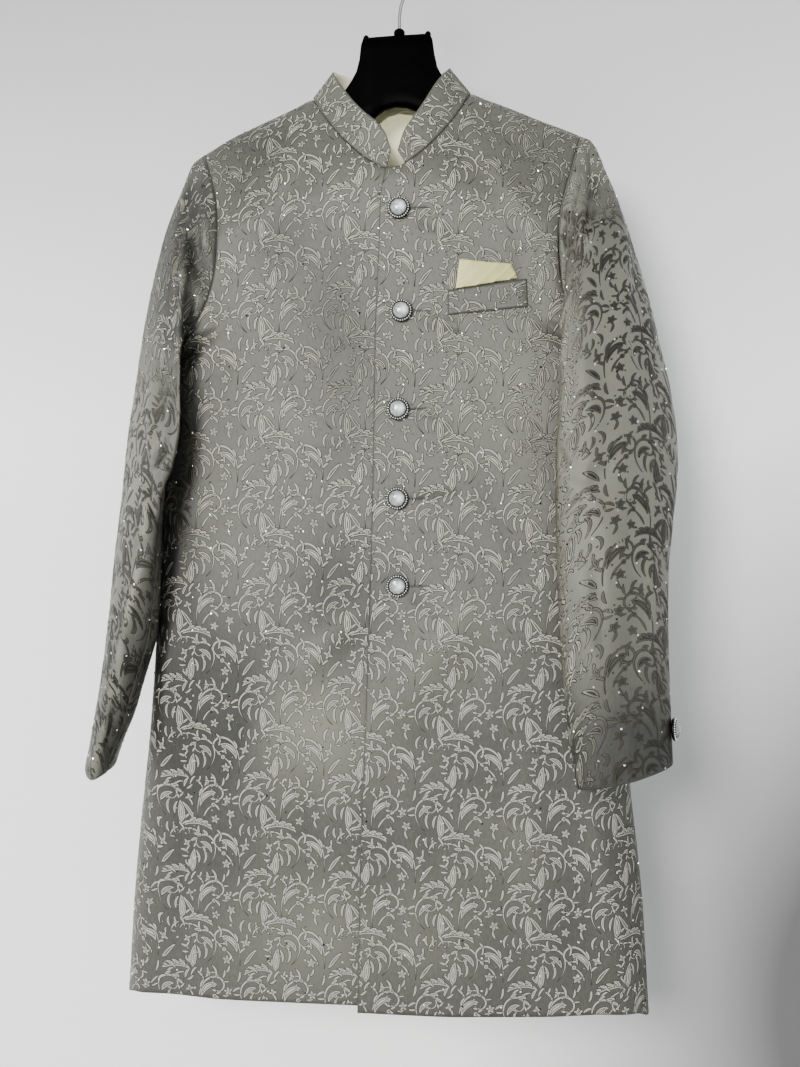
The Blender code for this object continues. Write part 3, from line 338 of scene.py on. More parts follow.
# a front or half of the back, from its top points down past the armhole to the hem
def panelGrid(top, armholeRows, hemRows, side, toRight, startX, rise=None):
    arm = np.array(armholeRows)
    armDrop = smoothCurve(arm[:, 0], arm[:, 2])
    armX = smoothCurve(arm[:, 2], arm[:, 1])
    hem = columnCurves(hemRows)[0]
    sideHem = float(hem(sideEnds(hemLevels["edge"], toRight)[1]))
    tipDrop = float(arm[0, 2])
    downShares = [(float(armDrop(s)) - tipDrop) / (sideHem - tipDrop) for s in armShares]
    underarmShare = downShares[-1]
    downShares += [underarmShare + (1 - underarmShare) * s for s in lowShares]
    columns = len(top)
    points = np.zeros((len(downShares), columns, 3))
    for c, (topX, topDrop) in enumerate(top):
        def reachAt(drop):
            if drop >= underarmDrop:
                return 1.0
            return shareAcross(float(armX(drop)), drop, startX(drop), toRight)
        topShare = shareAcross(topX, topDrop, startX(topDrop), toRight) / reachAt(topDrop)
        lowShare = c / (columns - 1)
        hemX = placeAcross(lowShare, hemLevels["panel"], startX(hemLevels["panel"]), toRight)
        hemDrop = float(hem(hemX))
        for r, down in enumerate(downShares):
            drop = topDrop + (hemDrop - topDrop) * down
            blend = float(smooth((drop - topDrop) / (underarmDrop - topDrop)))
            share = (topShare + (lowShare - topShare) * blend) * reachAt(drop)
            x = placeAcross(share, drop, startX(drop), toRight)
            if r == 0:
                x = topX
            if c == columns - 1:
                if drop < underarmDrop - 1e-6:
                    x = float(armX(drop))
                else:
                    x = float(sideEnds(drop, toRight)[1])
            y = float(bodyDepth(x, drop, side))
            if c == columns - 1 and (r == 0 or drop >= underarmDrop - 1e-6):
                y = 0.0
            if rise is not None:
                y -= float(rise(x, drop))
            points[r, c] = (x, y, -drop)
    return points


def seamPlaces(rows, count, fixed=0):
    table = np.array(rows)
    index = np.arange(len(table), dtype=float)
    xCurve = smoothCurve(index, table[:, 0])
    dropCurve = smoothCurve(index, table[:, 1])
    picks = list(range(fixed)) + list(np.linspace(fixed, len(table) - 1, count - fixed))
    return [(float(xCurve(t)), float(dropCurve(t))) for t in picks]


def shoulderPlaces(x0, x1, count):
    places = []
    for i in range(1, count + 1):
        x = x0 + (x1 - x0) * i / count
        places.append((x, float(shoulderDrop(x))))
    return places


# a squarish ring through its four points
def ringPoints(outer, inner, front, back, turns):
    middle = (outer + inner + front + back) / 4
    ring = []
    for turn in turns:
        c = math.cos(turn)
        s = math.sin(turn)
        cs = math.copysign(abs(c) ** sleeve["roundness"], c)
        sn = math.copysign(abs(s) ** sleeve["roundness"], s)
        p = middle + abs(cs) * ((outer if cs > 0 else inner) - middle)
        p = p + abs(sn) * ((front if sn > 0 else back) - middle)
        ring.append(p)
    return np.array(ring), middle


# how far a fold lifts the cloth at a turn (radians) and share of a sleeve laid out flat
def turnedRise(turn, share, fold):
    share0, turn0, share1, turn1, half, rise = fold
    total = 0.0
    for whole in (-360, 0, 360):
        row = (math.radians(turn0 + whole) * sleeve["radius"], share0 * sleeve["length"],
               math.radians(turn1 + whole) * sleeve["radius"], share1 * sleeve["length"], half)
        total = total + rise * lineShare(turn * sleeve["radius"], share * sleeve["length"], row)
    return total


def sleeveGrid(armhole, rows, shares, folds):
    count = len(armhole)
    turns = [2 * math.pi * j / count for j in range(count)]
    quarter = count // 4
    ends = (armhole[0], armhole[2 * quarter], armhole[quarter], armhole[3 * quarter])
    first = [0.0]
    for place in ends:
        first += [place[0], place[1], -place[2]]
    table = np.array([first] + [list(row) for row in rows])
    curves = [smoothCurve(table[:, 0], table[:, i]) for i in range(1, 13)]
    startRing, _ = ringPoints(*ends, turns)
    grid = np.zeros((len(shares), count, 3))
    for r, share in enumerate(shares):
        if share == 0:
            grid[r] = armhole
            continue
        at = [float(curve(share)) for curve in curves]
        four = [np.array((at[i], at[i + 1], -at[i + 2])) for i in (0, 3, 6, 9)]
        ring, middle = ringPoints(*four, turns)
        keep = 1 - float(smooth(share / sleeve["armholeKept"]))
        ring = ring + keep * (armhole - startRing)
        for j, turn in enumerate(turns):
            push = sum(float(turnedRise(turn, share, fold)) for fold in folds)
            out = ring[j] - middle
            grid[r, j] = ring[j] + out / np.linalg.norm(out) * push
    return grid


# body grids
armShares = [0, 0.03, 0.09, 0.17, 0.26, 0.35, 0.45, 0.55, 0.65, 0.75, 0.84, 0.92, 1.0]
armSteps = len(armShares) - 1
lowShares = [i / 12 for i in range(1, 13)]
hemLevels = {"edge": 1.14, "panel": 1.13}        # drops at which the hem's ends are found
shoulderCount = 7
collarFrom = 2            # the collar starts at this column of each front

rightShoulder = shoulderPlaces(rightNeckRows[-1][0], rightArmholeRows[0][1], shoulderCount)
leftShoulder = shoulderPlaces(leftNeckRows[-1][0], leftArmholeRows[0][1], shoulderCount)
backCentre = backNeckRows[3][0]
backNeck = seamPlaces(backNeckRows, 9)
underGrid = panelGrid(seamPlaces(rightNeckRows, 8, 2) + rightShoulder, rightArmholeRows, underHemRows,
                      -1, False, lambda drop: lap["underEdge"])
overGrid = panelGrid(seamPlaces(leftNeckRows, 8, 2) + leftShoulder, leftArmholeRows, overHemRows,
                     -1, True, lambda drop: float(overEdgeX(drop)), overRise)
backLeft = panelGrid(backNeck[4::-1] + rightShoulder, rightArmholeRows, backHemRows,
                     1, False, lambda drop: backCentre)
backRight = panelGrid(backNeck[4:] + leftShoulder, leftArmholeRows, backHemRows,
                      1, True, lambda drop: backCentre)
# the fronts and the back share their shoulder, side and armhole points
for front, half in ((underGrid, backLeft), (overGrid, backRight)):
    neckFront = front.shape[1] - shoulderCount - 1
    neckBack = half.shape[1] - shoulderCount - 1
    front[0, neckFront:, 1] = 0.0
    half[0, neckBack:] = front[0, neckFront:]
    half[:, -1, 0] = front[:, -1, 0]
    half[:, -1, 2] = front[:, -1, 2]
    half[armSteps:, -1] = front[armSteps:, -1]
backGrid = np.concatenate([backLeft[:, ::-1], backRight[:, 1:]], axis=1)

# sleeves
sleeve = {"length": 0.68, "radius": 0.05, "roundness": 0.92, "armholeKept": 0.26}
ringShares = [0, 0.03, 0.06, 0.09, 0.12, 0.16, 0.20, 0.25, 0.30, 0.35, 0.40, 0.44,
               0.48, 0.52, 0.56, 0.62, 0.69, 0.77, 0.85, 0.925, 1.0]


def armholeLoop(front, half):
    return np.concatenate([front[:armSteps + 1, -1], half[armSteps - 1:0:-1, -1]])


rightSleeve = sleeveGrid(armholeLoop(underGrid, backLeft), rightSleeveRows, ringShares,
                         sleeveTurnedFolds["right"])
leftSleeve = sleeveGrid(armholeLoop(overGrid, backRight), leftSleeveRows, ringShares,
                        sleeveTurnedFolds["left"])


# sums along an axis, starting from nothing
def runningSum(steps, axis=0):
    sums = np.cumsum(steps, axis=axis)
    return np.concatenate([np.zeros_like(sums.take([0], axis)), sums], axis=axis)


# how far along a line each of its points lies, as a share of the whole
def wayAlong(points):
    steps = np.linalg.norm(np.diff(points, axis=0), axis=1)
    return runningSum(steps) / steps.sum()


# collar
underNeck = underGrid[0, collarFrom:8]
backNeckLine = backGrid[0, shoulderCount:shoulderCount + 9]
overNeck = overGrid[0, collarFrom:8][::-1]
collarBase = np.concatenate([underNeck, backNeckLine[1:], overNeck[1:]])
collarShare = np.concatenate([wayAlong(underNeck) * 0.35,
                              0.35 + wayAlong(backNeckLine)[1:] * 0.30,
                              0.65 + wayAlong(overNeck)[1:] * 0.35])
collarX, collarY, collarDrop = columnCurves(collarTopRows)
collarTop = np.stack([collarX(collarShare), collarY(collarShare), -collarDrop(collarShare)], axis=1)
collarGrid = collarBase + (collarTop - collarBase) * np.linspace(1, 0, 5)[:, None, None]


# distance down the rows, averaged over the columns
def meanWay(grid):
    return runningSum(np.linalg.norm(np.diff(grid, axis=0), axis=2).mean(axis=1))


# the same form with more rows and columns, for the shells
def finerPanel(grid, rowWay, rows, columns):
    tall = smoothCurve(rowWay, grid)(np.linspace(0, rowWay[-1], rows)).transpose(1, 0, 2)
    way = meanWay(grid.transpose(1, 0, 2))
    return smoothCurve(way, tall)(np.linspace(0, way[-1], columns)).transpose(1, 0, 2)


def gridNormals(points, flip):
    down = np.gradient(points, axis=0)
    across = np.gradient(points, axis=1)
    normal = np.cross(down, across) * (-1 if flip else 1)
    size = np.linalg.norm(normal, axis=2, keepdims=True)
    return normal / np.maximum(size, 1e-12)


# slides the points of a grid along its own surface until they are evenly spaced; its edges stay
def evenGrid(points, rounds):
    points = points.copy()
    for _ in range(rounds):
        normals = gridNormals(points, False)[1:-1, 1:-1]
        inner = points[1:-1, 1:-1]
        pull = (points[:-2, 1:-1] + points[2:, 1:-1] + points[1:-1, :-2] + points[1:-1, 2:]) / 4 - inner
        pull = pull - normals * (pull * normals).sum(axis=2, keepdims=True)
        points[1:-1, 1:-1] = inner + pull * 0.8
    return points


# a smooth wander of about -1 to 1
def unevenness(a, b, seed):
    total = 0
    for k, (fa, fb) in enumerate(((11, 7), (-17, 13), (23, 31), (41, -29))):
        total = total + np.sin(a * fa + b * fb + seed * (1.7 + k)) / (1.6 + 0.7 * k)
    return total / 1.7


# how deep each point of a grid lies in the seam ditches at the named sides
def edgeDip(points, sides):
    rows, columns = points.shape[:2]
    down = np.linalg.norm(np.diff(points, axis=0), axis=2).mean()
    across = np.linalg.norm(np.diff(points, axis=1), axis=2).mean()
    r = np.arange(rows)[:, None] * down
    c = np.arange(columns)[None, :] * across
    away = {"top": r, "first": c, "last": c[:, ::-1]}
    dip = np.zeros((rows, columns))
    for side in sides:
        dip = np.maximum(dip, np.exp(-(away[side] / coat["seamDipWidth"]) ** 2))
    return dip


creaseGain = 1.8          # how deep every crease is
# creases in the body cloth: side, x0, drop0, x1, drop1, half width, rise
creaseRows = metres((
    (-1, -70, 190, -165, 330, 10, 1.6), (-1, -105, 185, -178, 270, 8, -1.4),
    (-1, 60, 185, 150, 320, 10, 1.5), (-1, 92, 185, 160, 262, 8, -1.4), (-1, 18, 302, 75, 325, 6, -1.6),
    (-1, 20, 407, 82, 420, 6, -1.7), (-1, 18, 506, 70, 530, 6, -1.5), (-1, 16, 598, 78, 590, 7, -1.8),
    (-1, 14, 690, 60, 742, 8, -1.6), (-1, -20, 318, -70, 350, 8, -1.1), (-1, -24, 520, -85, 560, 9, -1.2),
    (-1, -28, 705, -110, 790, 12, 1.4), (-1, 50, 470, 150, 560, 14, 1.3),
    (-1, 85, 560, 152, 690, 12, -1.3), (-1, -150, 420, -220, 520, 10, -1.6),
    (-1, -120, 480, -205, 640, 14, 1.3), (-1, -80, 830, -100, 1100, 18, -1.6),
    (-1, 10, 860, 30, 1110, 16, 1.5), (-1, 130, 820, 150, 1110, 16, 1.6),
    (-1, -220, 860, -235, 1110, 14, -1.5), (-1, -210, 700, -245, 900, 12, 1.2),
    (-1, 205, 900, 225, 1100, 12, 1.4), (1, -120, 200, -175, 340, 11, 1.6),
    (1, 105, 200, 158, 330, 11, 1.6), (1, -60, 210, -30, 330, 14, -1.4), (1, 50, 210, 20, 320, 14, -1.3),
    (1, -185, 430, -120, 560, 14, 1.4), (1, 170, 430, 95, 570, 14, 1.4),
    (1, -80, 560, -150, 680, 14, -1.4), (1, 60, 580, 130, 690, 14, -1.3),
    (1, -60, 820, -80, 1110, 18, 1.8), (1, 40, 830, 60, 1110, 18, 1.8),
    (1, -220, 850, -235, 1100, 14, -1.5), (1, 190, 880, 215, 1110, 14, -1.5),
), plain=(0,))
# creases round each sleeve: share down it and turn in degrees at each end, half width, rise
sleeveCreases = {
    "right": metres((
        (0.02, 20, 0.2, 78, 7, -2), (0.04, 350, 0.24, 50, 8, 1.8), (0.1, 92, 0.3, 128, 8, 1.8),
        (0.2, 60, 0.44, 110, 9, -1.7), (0.34, 30, 0.48, 88, 8, 1.8), (0.42, 160, 0.52, 110, 7, -2.2),
        (0.47, 60, 0.55, 120, 7, -1.8), (0.6, 95, 0.86, 78, 9, 1.6), (0.64, 25, 0.92, 35, 9, -1.4),
        (0.3, 200, 0.48, 250, 9, -1.8), (0.52, 300, 0.8, 290, 10, 1.5), (0.06, 230, 0.26, 300, 9, -1.8),
    ), plain=(0, 1, 2, 3)),
    "left": metres((
        (0.02, 4, 0.17, 46, 6, -2.1), (0.03, 338, 0.22, 12, 7, 1.9), (0.07, 30, 0.24, 74, 7, 1.7),
        (0.16, 338, 0.36, 352, 10, -1.6), (0.3, 50, 0.46, 20, 9, 1.4), (0.44, 78, 0.52, 30, 7, -2.2),
        (0.47, 60, 0.58, 8, 8, 1.7), (0.5, 330, 0.62, 356, 8, -1.4), (0.62, 30, 0.88, 26, 11, 1.4),
        (0.7, 352, 0.95, 356, 10, -1.2), (0.3, 200, 0.48, 250, 9, -1.8), (0.06, 230, 0.26, 300, 9, -1.8),
    ), plain=(0, 1, 2, 3)),
}


# folds over the front face of each sleeve, where they hang: x0, drop0, x1, drop1, half width, rise
sleeveFolds = {
    "right": metres((
        (-203.4, 292, -193.1, 337, 6, 3.4), (-222, 286, -205.5, 343, 6.2, -4.2),
        (-205.5, 343, -190, 379, 5.8, -4), (-220.3, 349, -199.3, 397, 6.8, 4),
        (-226.3, 358, -220.3, 427, 5, -4), (-242.6, 564, -223, 536, 4.6, -4.6),
        (-244.6, 583, -246.7, 642, 6, 3.4), (-246.7, 642, -266.3, 732, 6, 3.8),
        (-266.3, 732, -282, 810, 5.6, 3.8), (-282, 810, -303.8, 879, 5.2, 3.6),
        (-270, 735, -289, 880, 3, -3.4), (-264, 470, -256, 560, 8, -2), (-238, 440, -233, 510, 6, -2.4),
    )),
    "left": metres((
        (208, 244, 206.2, 288, 5, -3.6), (206.2, 288, 195.2, 334, 5.2, -4),
        (192.1, 246, 181.4, 309, 7, 3.6), (202.4, 298, 192.1, 351, 6.2, 3.2),
        (177.7, 312, 179.7, 341, 4.8, -3.4), (179.7, 341, 188.5, 358, 5, -3.6),
        (174, 392, 185, 375, 4.6, -2.8), (220, 560, 190, 575, 6, -2.4), (196, 640, 206, 760, 9, -2),
        (256, 620, 258, 760, 9, 2),
    )),
}


# round each button: rise, distance from its middle, half width
buttonPull = metres(((-0.7, 0, 13), (0.4, 24, 10)))
wander = {"body": 0.0005, "sleeve": 0.0006}        # how uneven the cloth is all over


def creasedBody(points, normals, side, sides):
    x = points[:, :, 0]
    drop = -points[:, :, 2]
    push = wander["body"] * unevenness(x * 0.9, drop * 0.8, 3 + side)
    for row in creaseRows:
        if row[0] == side:
            push = push + row[6] * creaseGain * lineShare(x, drop, row[1:6])
    # the cloth draws in a little round each button
    if side < 0:
        for bx, bd in zip(coat["buttonX"], coat["buttonDrops"]):
            away = np.hypot(x - bx, (drop - bd) * 0.8)
            for rise, middle, half in buttonPull:
                push = push + rise * np.exp(-((away - middle) / half) ** 2)
    push = push * (1 - edgeDip(points, ("top", "last", "first")))
    push = push - coat["seamDip"] * edgeDip(points, sides) * 0.8
    return points + normals * push[:, :, None]


# a body panel with its creases, and its normals
def finePanel(grid, columns, flip, side, sides):
    points = evenGrid(finerPanel(grid, bodyWay, coat["rowsDown"], columns), 60)
    points = creasedBody(points, gridNormals(points, flip), side, sides)
    return points, gridNormals(points, flip)


bodyWay = meanWay(overGrid[:, -2:])
underFine, underNormals = finePanel(underGrid, coat["frontColumns"], True, -1, ("top", "last"))
overFine, overNormals = finePanel(overGrid, coat["frontColumns"], False, -1, ("top", "last"))
backFine, backNormals = finePanel(backGrid, coat["backColumns"], True, 1, ("top", "first", "last"))
print("body form ready")


# the right sleeve lies against the coat's side, and its cuff ends in a slanting corner
rightHang = {"nearer": 0.0044, "from": (0.44, 0.10), "to": (0.735, 0.06),
             "cornerLift": 0.0085, "corner": (-0.287, 0.011), "cornerFrom": (0.80, 0.07)}


def closeToBody(fine, normals):
    drop = -fine[:, :, 2]
    near = startingAt(drop, rightHang["from"]) * (1 - startingAt(drop, rightHang["to"]))
    fine = fine.copy()
    fine[:, :, 0] += rightHang["nearer"] * near * np.clip(normals[:, :, 0], 0, 1)
    low = rightHang["cornerLift"] * startingAt(drop, rightHang["cornerFrom"])
    middle, half = rightHang["corner"]
    fine[:, :, 2] += low * np.exp(-((fine[:, :, 0] - middle) / half) ** 2) * (fine[:, :, 0] < 0)
    return fine


# the top and under sleeve: first and last column of the tube, going twice round, and columns
sleeveCuts = (("top", 17, 33, coat["sleeveTopColumns"]), ("under", 9, 17, coat["sleeveUnderColumns"]))
sleevePuff = {"at": 0.016, "half": 0.010, "rise": 0.0012}        # just below the armhole seam


def sleeveParts(grid, side, flip, seed):
    count = grid.shape[1]
    whole = np.concatenate([grid, grid, grid[:, :1]], axis=1)
    ringWay = meanWay(grid)
    tall = smoothCurve(ringWay, whole)(np.linspace(0, ringWay[-1], coat["sleeveRings"])).transpose(1, 0, 2)
    turnWay = meanWay(whole.transpose(1, 0, 2))
    parts = {}
    for label, first, last, columns in sleeveCuts:
        ways = np.linspace(turnWay[first], turnWay[last], columns)
        fine = evenGrid(smoothCurve(turnWay, tall)(ways).transpose(1, 0, 2), 20)
        normals = gridNormals(fine, flip)
        turns = np.interp(ways, turnWay, np.arange(2 * count + 1))[None, :] / count * 2 * math.pi
        share = np.linspace(0, 1, coat["sleeveRings"])[:, None]
        push = wander["sleeve"] * unevenness(turns * 0.06, share * 0.7, seed)
        for crease in sleeveCreases[side]:
            push = push + creaseGain * turnedRise(turns, share, crease)
        dip = edgeDip(fine, ("top", "first", "last"))
        below = share * sleeve["length"] - sleevePuff["at"]
        puff = np.exp(-(below / sleevePuff["half"]) ** 2) * sleevePuff["rise"]
        push = push * (1 - dip) - coat["seamDip"] * dip + puff
        front = np.clip(-normals[:, :, 1] * 2.2, 0, 1)
        for fold in sleeveFolds[side]:
            push = push + fold[5] * front * (1 - dip) * lineShare(fine[:, :, 0], -fine[:, :, 2], fold[:5])
        fine = fine + normals * push[:, :, None]
        if not flip:
            fine = closeToBody(fine, normals)
        parts[label] = fine
    return parts


rightParts = sleeveParts(rightSleeve, "right", False, 5)
leftParts = sleeveParts(leftSleeve, "left", True, 9)
collarFine = finerPanel(collarGrid, meanWay(collarGrid), coat["collarRows"], coat["collarColumns"])
print("sleeves and collar ready")


# cloth places: how far across (u) and down (v) the flat cloth each point lies, in metres
measuring = {"across": (-0.302, 0.270, 420), "down": (0.118, 1.150, 360)}


def bodyPlaces(points, side):
    xs = np.linspace(*measuring["across"])
    drops = np.linspace(*measuring["down"])
    depth = bodyDepth(*np.meshgrid(xs, drops), side)
    u = runningSum(np.hypot(np.diff(xs)[None, :], np.diff(depth, axis=1)), 1)
    u = u - np.array([np.interp(0.0, xs, row) for row in u])[:, None]
    v = runningSum(np.hypot(np.diff(drops)[:, None], np.diff(depth, axis=0)), 0)
    level = int(np.argmin(np.abs(drops - underarmDrop)))
    v = v - v[level][None, :] + underarmDrop
    fx = np.clip((points[:, :, 0] - xs[0]) / (xs[1] - xs[0]), 0, len(xs) - 1.001)
    fd = np.clip((-points[:, :, 2] - drops[0]) / (drops[1] - drops[0]), 0, len(drops) - 1.001)
    i, j = fx.astype(int), fd.astype(int)
    a, b = fx - i, fd - j
    return [(t[j, i] * (1 - a) + t[j, i + 1] * a) * (1 - b)
            + (t[j + 1, i] * (1 - a) + t[j + 1, i + 1] * a) * b for t in (u, v)]


def sleevePlaces(points):
    u = runningSum(np.linalg.norm(np.diff(points, axis=1), axis=2), 1)
    v = runningSum(np.linalg.norm(np.diff(points, axis=0), axis=2), 0)
    return u - u[:, -1:] * 0.5, v - v[len(points) // 3][None, :] + 0.45


def bandPlaces(points):
    u = runningSum(np.linalg.norm(np.diff(points, axis=1), axis=2).mean(axis=0))
    v = runningSum(np.linalg.norm(np.diff(points, axis=0), axis=2), 0)
    return np.repeat(u[None, :], len(points), axis=0), v


# the brocade's repeat in millimetres, x across the cloth and y up it; a figure is a list of leaves
brocade = {
    "repeatAcross": 90.0,
    "repeatDown": 102.0,
    "bound": 0.46,           # the line that binds each leaf, on either side
    "threadGap": 2.1,        # from one light thread to the next inside a leaf
    # start x, start y, heading, length, width, bend, curl at the end, ball, share where it is widest
    "scroll": (
        (0, 0, 148, 70, 2.0, -150, -220, 2.3, 0.60), (-6.8, 13, 90, 19, 4.8, -84, 0, 0, 0.5),
        (4.5, 2, 138, 22, 2.6, -92, 0, 0, 0.5), (9.5, 3, 118, 16, 2.6, -66, 0, 0, 0.5),
        (14, 2.5, 98, 11, 2.2, -44, 0, 0, 0.5), (-3, -4, 214, 17, 2.4, 96, 0, 0, 0.5),
        (2.5, -5.5, 242, 13, 2.6, 84, 0, 0, 0.5), (8, -5, 270, 8, 2.0, 60, 0, 0, 0.4),
        (14, -1, 10, 15, 2.6, 56, 0, 0, 0.4), (13, -4.5, 334, 13, 2.2, -52, 0, 0, 0.4),
    ),
    # leaves that spring from the first leaf of a figure: share along it, turn, length, width, bend
    "scrollSprouts": (
        (0.40, 30, 9, 3.0, -40), (0.49, 34, 10, 3.4, -36), (0.58, 36, 9, 3.0, -30),
        (0.67, 36, 6, 2.2, -24),
    ),
    "plume": (
        (0, 0, 104, 76, 2.0, -54, -330, 2.6, 0.60), (0.6, 14, 98, 25, 5.6, -96, 0, 0, 0.55),
        (5.5, 4, 84, 17, 1.6, -48, 0, 2.6, 0.4), (-4.5, 0, 124, 22, 3.6, 22, 0, 0, 0.45),
        (-5, -3, 172, 15, 2.0, 70, 0, 0, 0.5), (1, -4.5, 266, 13, 2.2, 46, 0, 0, 0.4),
    ),
    "plumeSprouts": ((0.22, 30, 11, 2.0, -56), (0.72, 30, 6, 2.4, -20), (0.80, 30, 5, 2.0, -20)),
    "leaf": (
        (2, 0, 34, 36, 5.4, -92, 0, 0, 0.5), (-0.5, 3, 80, 25, 7.6, 16, 0, 0, 0.42),
        (8, -4, 8, 18, 1.6, -104, -80, 1.5, 0.4), (-4.5, -0.5, 194, 14, 2.2, 60, 0, 0, 0.4),
    ),
    "leafSprouts": ((0.18, 32, 11, 3.2, -40), (0.38, 36, 10, 3.0, -40), (0.57, 38, 9, 2.8, -40),
                    (0.75, 38, 6, 2.2, -34)),
    "sprig": (
        (0.5, 1.5, 62, 14, 3.4, 54, 0, 0, 0.5), (-2, 0.5, 136, 11, 2.8, -44, 0, 0, 0.5),
        (0, -3, 260, 12, 2.2, 60, 0, 0, 0.5),
    ),
    "sprigSprouts": (),
    "curlet": (
        (0, 0, 60, 30, 1.9, 124, 190, 1.8, 0.4), (4, -1, 12, 14, 3.0, 56, 0, 0, 0.5),
        (1.5, -4.5, 316, 10, 2.2, 30, 0, 0, 0.5),
    ),
    "curletSprouts": ((0.42, -36, 8, 2.6, 30),),
    # figure, x, y, turn, size, mirrored
    "layout": (
        ("scroll", 21, 10, -6, 1.0, False), ("scroll", 66, 61, 8, 1.0, True),
        ("plume", 56, 7, -8, 1.06, False), ("plume", 11, 58, 8, 1.06, True),
        ("leaf", 38, 0, 6, 1.0, False), ("leaf", 49, 51, -6, 1.0, True),
        ("sprig", 41, 40, -24, 0.90, True), ("curlet", 79, 42, 40, 0.80, False),
        ("curlet", 34, 92, -40, 0.80, True), ("sprig", 46, 72, 70, 0.80, False),
        ("sprig", 2, 28, -60, 0.80, True),
    ),
    # x, y, size, points, turn
    "stars": (
        (88, 30, 3.2, 5, 20), (17, 83, 3.4, 4, 60), (75, 9, 3.2, 5, 0), (46, 31, 3.0, 4, 10),
        (43, 84, 3.0, 4, 30), (87, 64, 3.4, 5, 10), (2, 15, 3.4, 5, 40),
    ),
    # small leaves on their own: x, y, heading, length, width, bend
    "strays": (
        (80, 18, 110, 10, 2.3, 50), (11, 71, 70, 10, 2.3, -50), (50, 22, 100, 9, 2.0, 40),
        (42, 74, 80, 9, 2.0, -40), (86, 50, 40, 10, 2.3, 60), (4, 2, 140, 10, 2.3, -60),
        (46, 68, 250, 9, 2.1, 40), (88, 78, 120, 9, 2.1, -40), (28, 52, 200, 10, 2.3, 40),
        (76, 100, 330, 12, 2.3, -60), (80, 96, 290, 10, 2.1, -50), (32, 48, 240, 10, 2.1, 50),
        (70, 34, 60, 8, 2.0, 50), (20, 86, 120, 8, 2.0, -50),
    ),
    # x, y, radius
    "dots": (
        (60, 45, 1.1), (49, 40, 0.9), (33, 97, 1.1), (44, 90, 0.9), (50, 14, 1.4), (53, 9, 1.0),
        (42, 65, 1.4), (40, 60, 1.0), (78, 33, 1.0), (12, 84, 1.0), (86, 24, 1.2), (4, 75, 1.2),
        (87, 14, 0.9), (3, 66, 0.9), (24, 27, 1.3), (30, 25, 0.9), (69, 78, 1.3), (64, 76, 0.9),
        (82, 60, 1.0), (9, 10, 1.0), (76, 46, 1.2), (16, 98, 1.2), (60, 4, 1.0), (30, 56, 1.0),
        (87, 87, 1.0), (2, 36, 1.0), (56, 92, 1.1), (34, 41, 1.1),
    ),
}


# a leaf's centre line and half widths
def figureLine(x, y, heading, length, width, bend, curl, widest, steps):
    t = 1 - (1 - np.linspace(0, 1, steps + 1)) ** (1.5 if curl else 1.0)
    share = (t[1:] + t[:-1]) / 2
    way = np.radians(heading + bend * share + curl * share ** 3)
    line = np.zeros((steps + 1, 2))
    line[1:, 0] = np.cumsum(np.cos(way) * np.diff(t)) * length
    line[1:, 1] = np.cumsum(np.sin(way) * np.diff(t)) * length
    skew = math.log(0.5) / math.log(widest)
    half = width / 2 * np.clip(np.sin(math.pi * t ** skew), 0, 1) ** 0.8 + brocade["bound"]
    return line + (x, y), half


# a leaf is a strip two points wide, or three where it is broad
def addStrip(store, line, half, broad):
    way = np.gradient(line, axis=0)
    way /= np.maximum(np.linalg.norm(way, axis=1, keepdims=True), 1e-9)
    side = np.stack([-way[:, 1], way[:, 0]], axis=1) * half[:, None]
    steps = len(line)
    base = store["count"]
    run = runningSum(np.linalg.norm(np.diff(line, axis=0), axis=1))
    lanes = (-1.0, 0.0, 1.0) if broad else (-1.0, 1.0)
    for across in lanes:
        store["places"].append(line + side * across)
        rows = (np.full(steps, across), run, half, np.full(steps, store["level"]))
        store["leaf"].append(np.stack(rows, axis=1))
    for k in range(len(lanes) - 1):
        a = base + k * steps + np.arange(steps - 1)
        store["faces"].append(np.stack([a, a + 1, a + 1 + steps, a + steps], axis=1)[:, ::-1])
    store["count"] += len(lanes) * steps


# a dot is a fan round its middle
def addDot(store, x, y, radius, corners=6):
    base = store["count"]
    turn = np.arange(corners) * 2 * math.pi / corners
    ring = np.stack([x + radius * np.cos(turn), y + radius * np.sin(turn)], axis=1)
    store["places"].append(np.concatenate([[[x, y]], ring]))
    store["leaf"].append(np.array([(float(k > 0), 0.0, radius, store["level"]) for k in range(corners + 1)]))
    k = np.arange(corners)
    store["faces"].append(np.stack([np.full(corners, base), base + 1 + k, base + 1 + (k + 1) % corners,
                                    np.full(corners, base)], axis=1))
    store["count"] += corners + 1


def addLeaf(store, row, place):
    x0, y0, heading, length, width, bend, curl, ball, widest = row
    x, y, turn, size, mirrored = place
    steps = int(np.clip(round(length / 5 + (abs(bend) + abs(curl)) / 20), 4, 26))
    line, half = figureLine(x0, y0, heading, length, width, bend, curl, widest, steps)
    c, s = math.cos(math.radians(turn)), math.sin(math.radians(turn))
    shown = (line * (-1 if mirrored else 1, 1)) @ ((c, s), (-s, c)) * size + (x, y)
    addStrip(store, shown, half * size, width > 4)
    if ball:
        addDot(store, shown[-1, 0], shown[-1, 1], ball * size, 8)
    return line


# neighbouring leaves lie on levels of their own, so each one's binding shows over the next
def addFigure(store, name, *place):
    lines = []
    for k, row in enumerate(brocade[name]):
        store["level"] = 0 if k == 0 else 1 + k % 2
        lines.append(addLeaf(store, row, place))
    first = lines[0]
    way = np.gradient(first, axis=0)
    for n, (share, turn, length, width, bend) in enumerate(brocade[name + "Sprouts"]):
        store["level"] = 3 + n % 2
        k = share * (len(first) - 1)
        spot = first[int(k)] + (first[int(k) + 1] - first[int(k)]) * (k - int(k))
        heading = math.degrees(math.atan2(way[int(round(k)), 1], way[int(round(k)), 0])) + turn
        addLeaf(store, (spot[0], spot[1], heading, length, width, bend, 0, 0, 0.5), place)


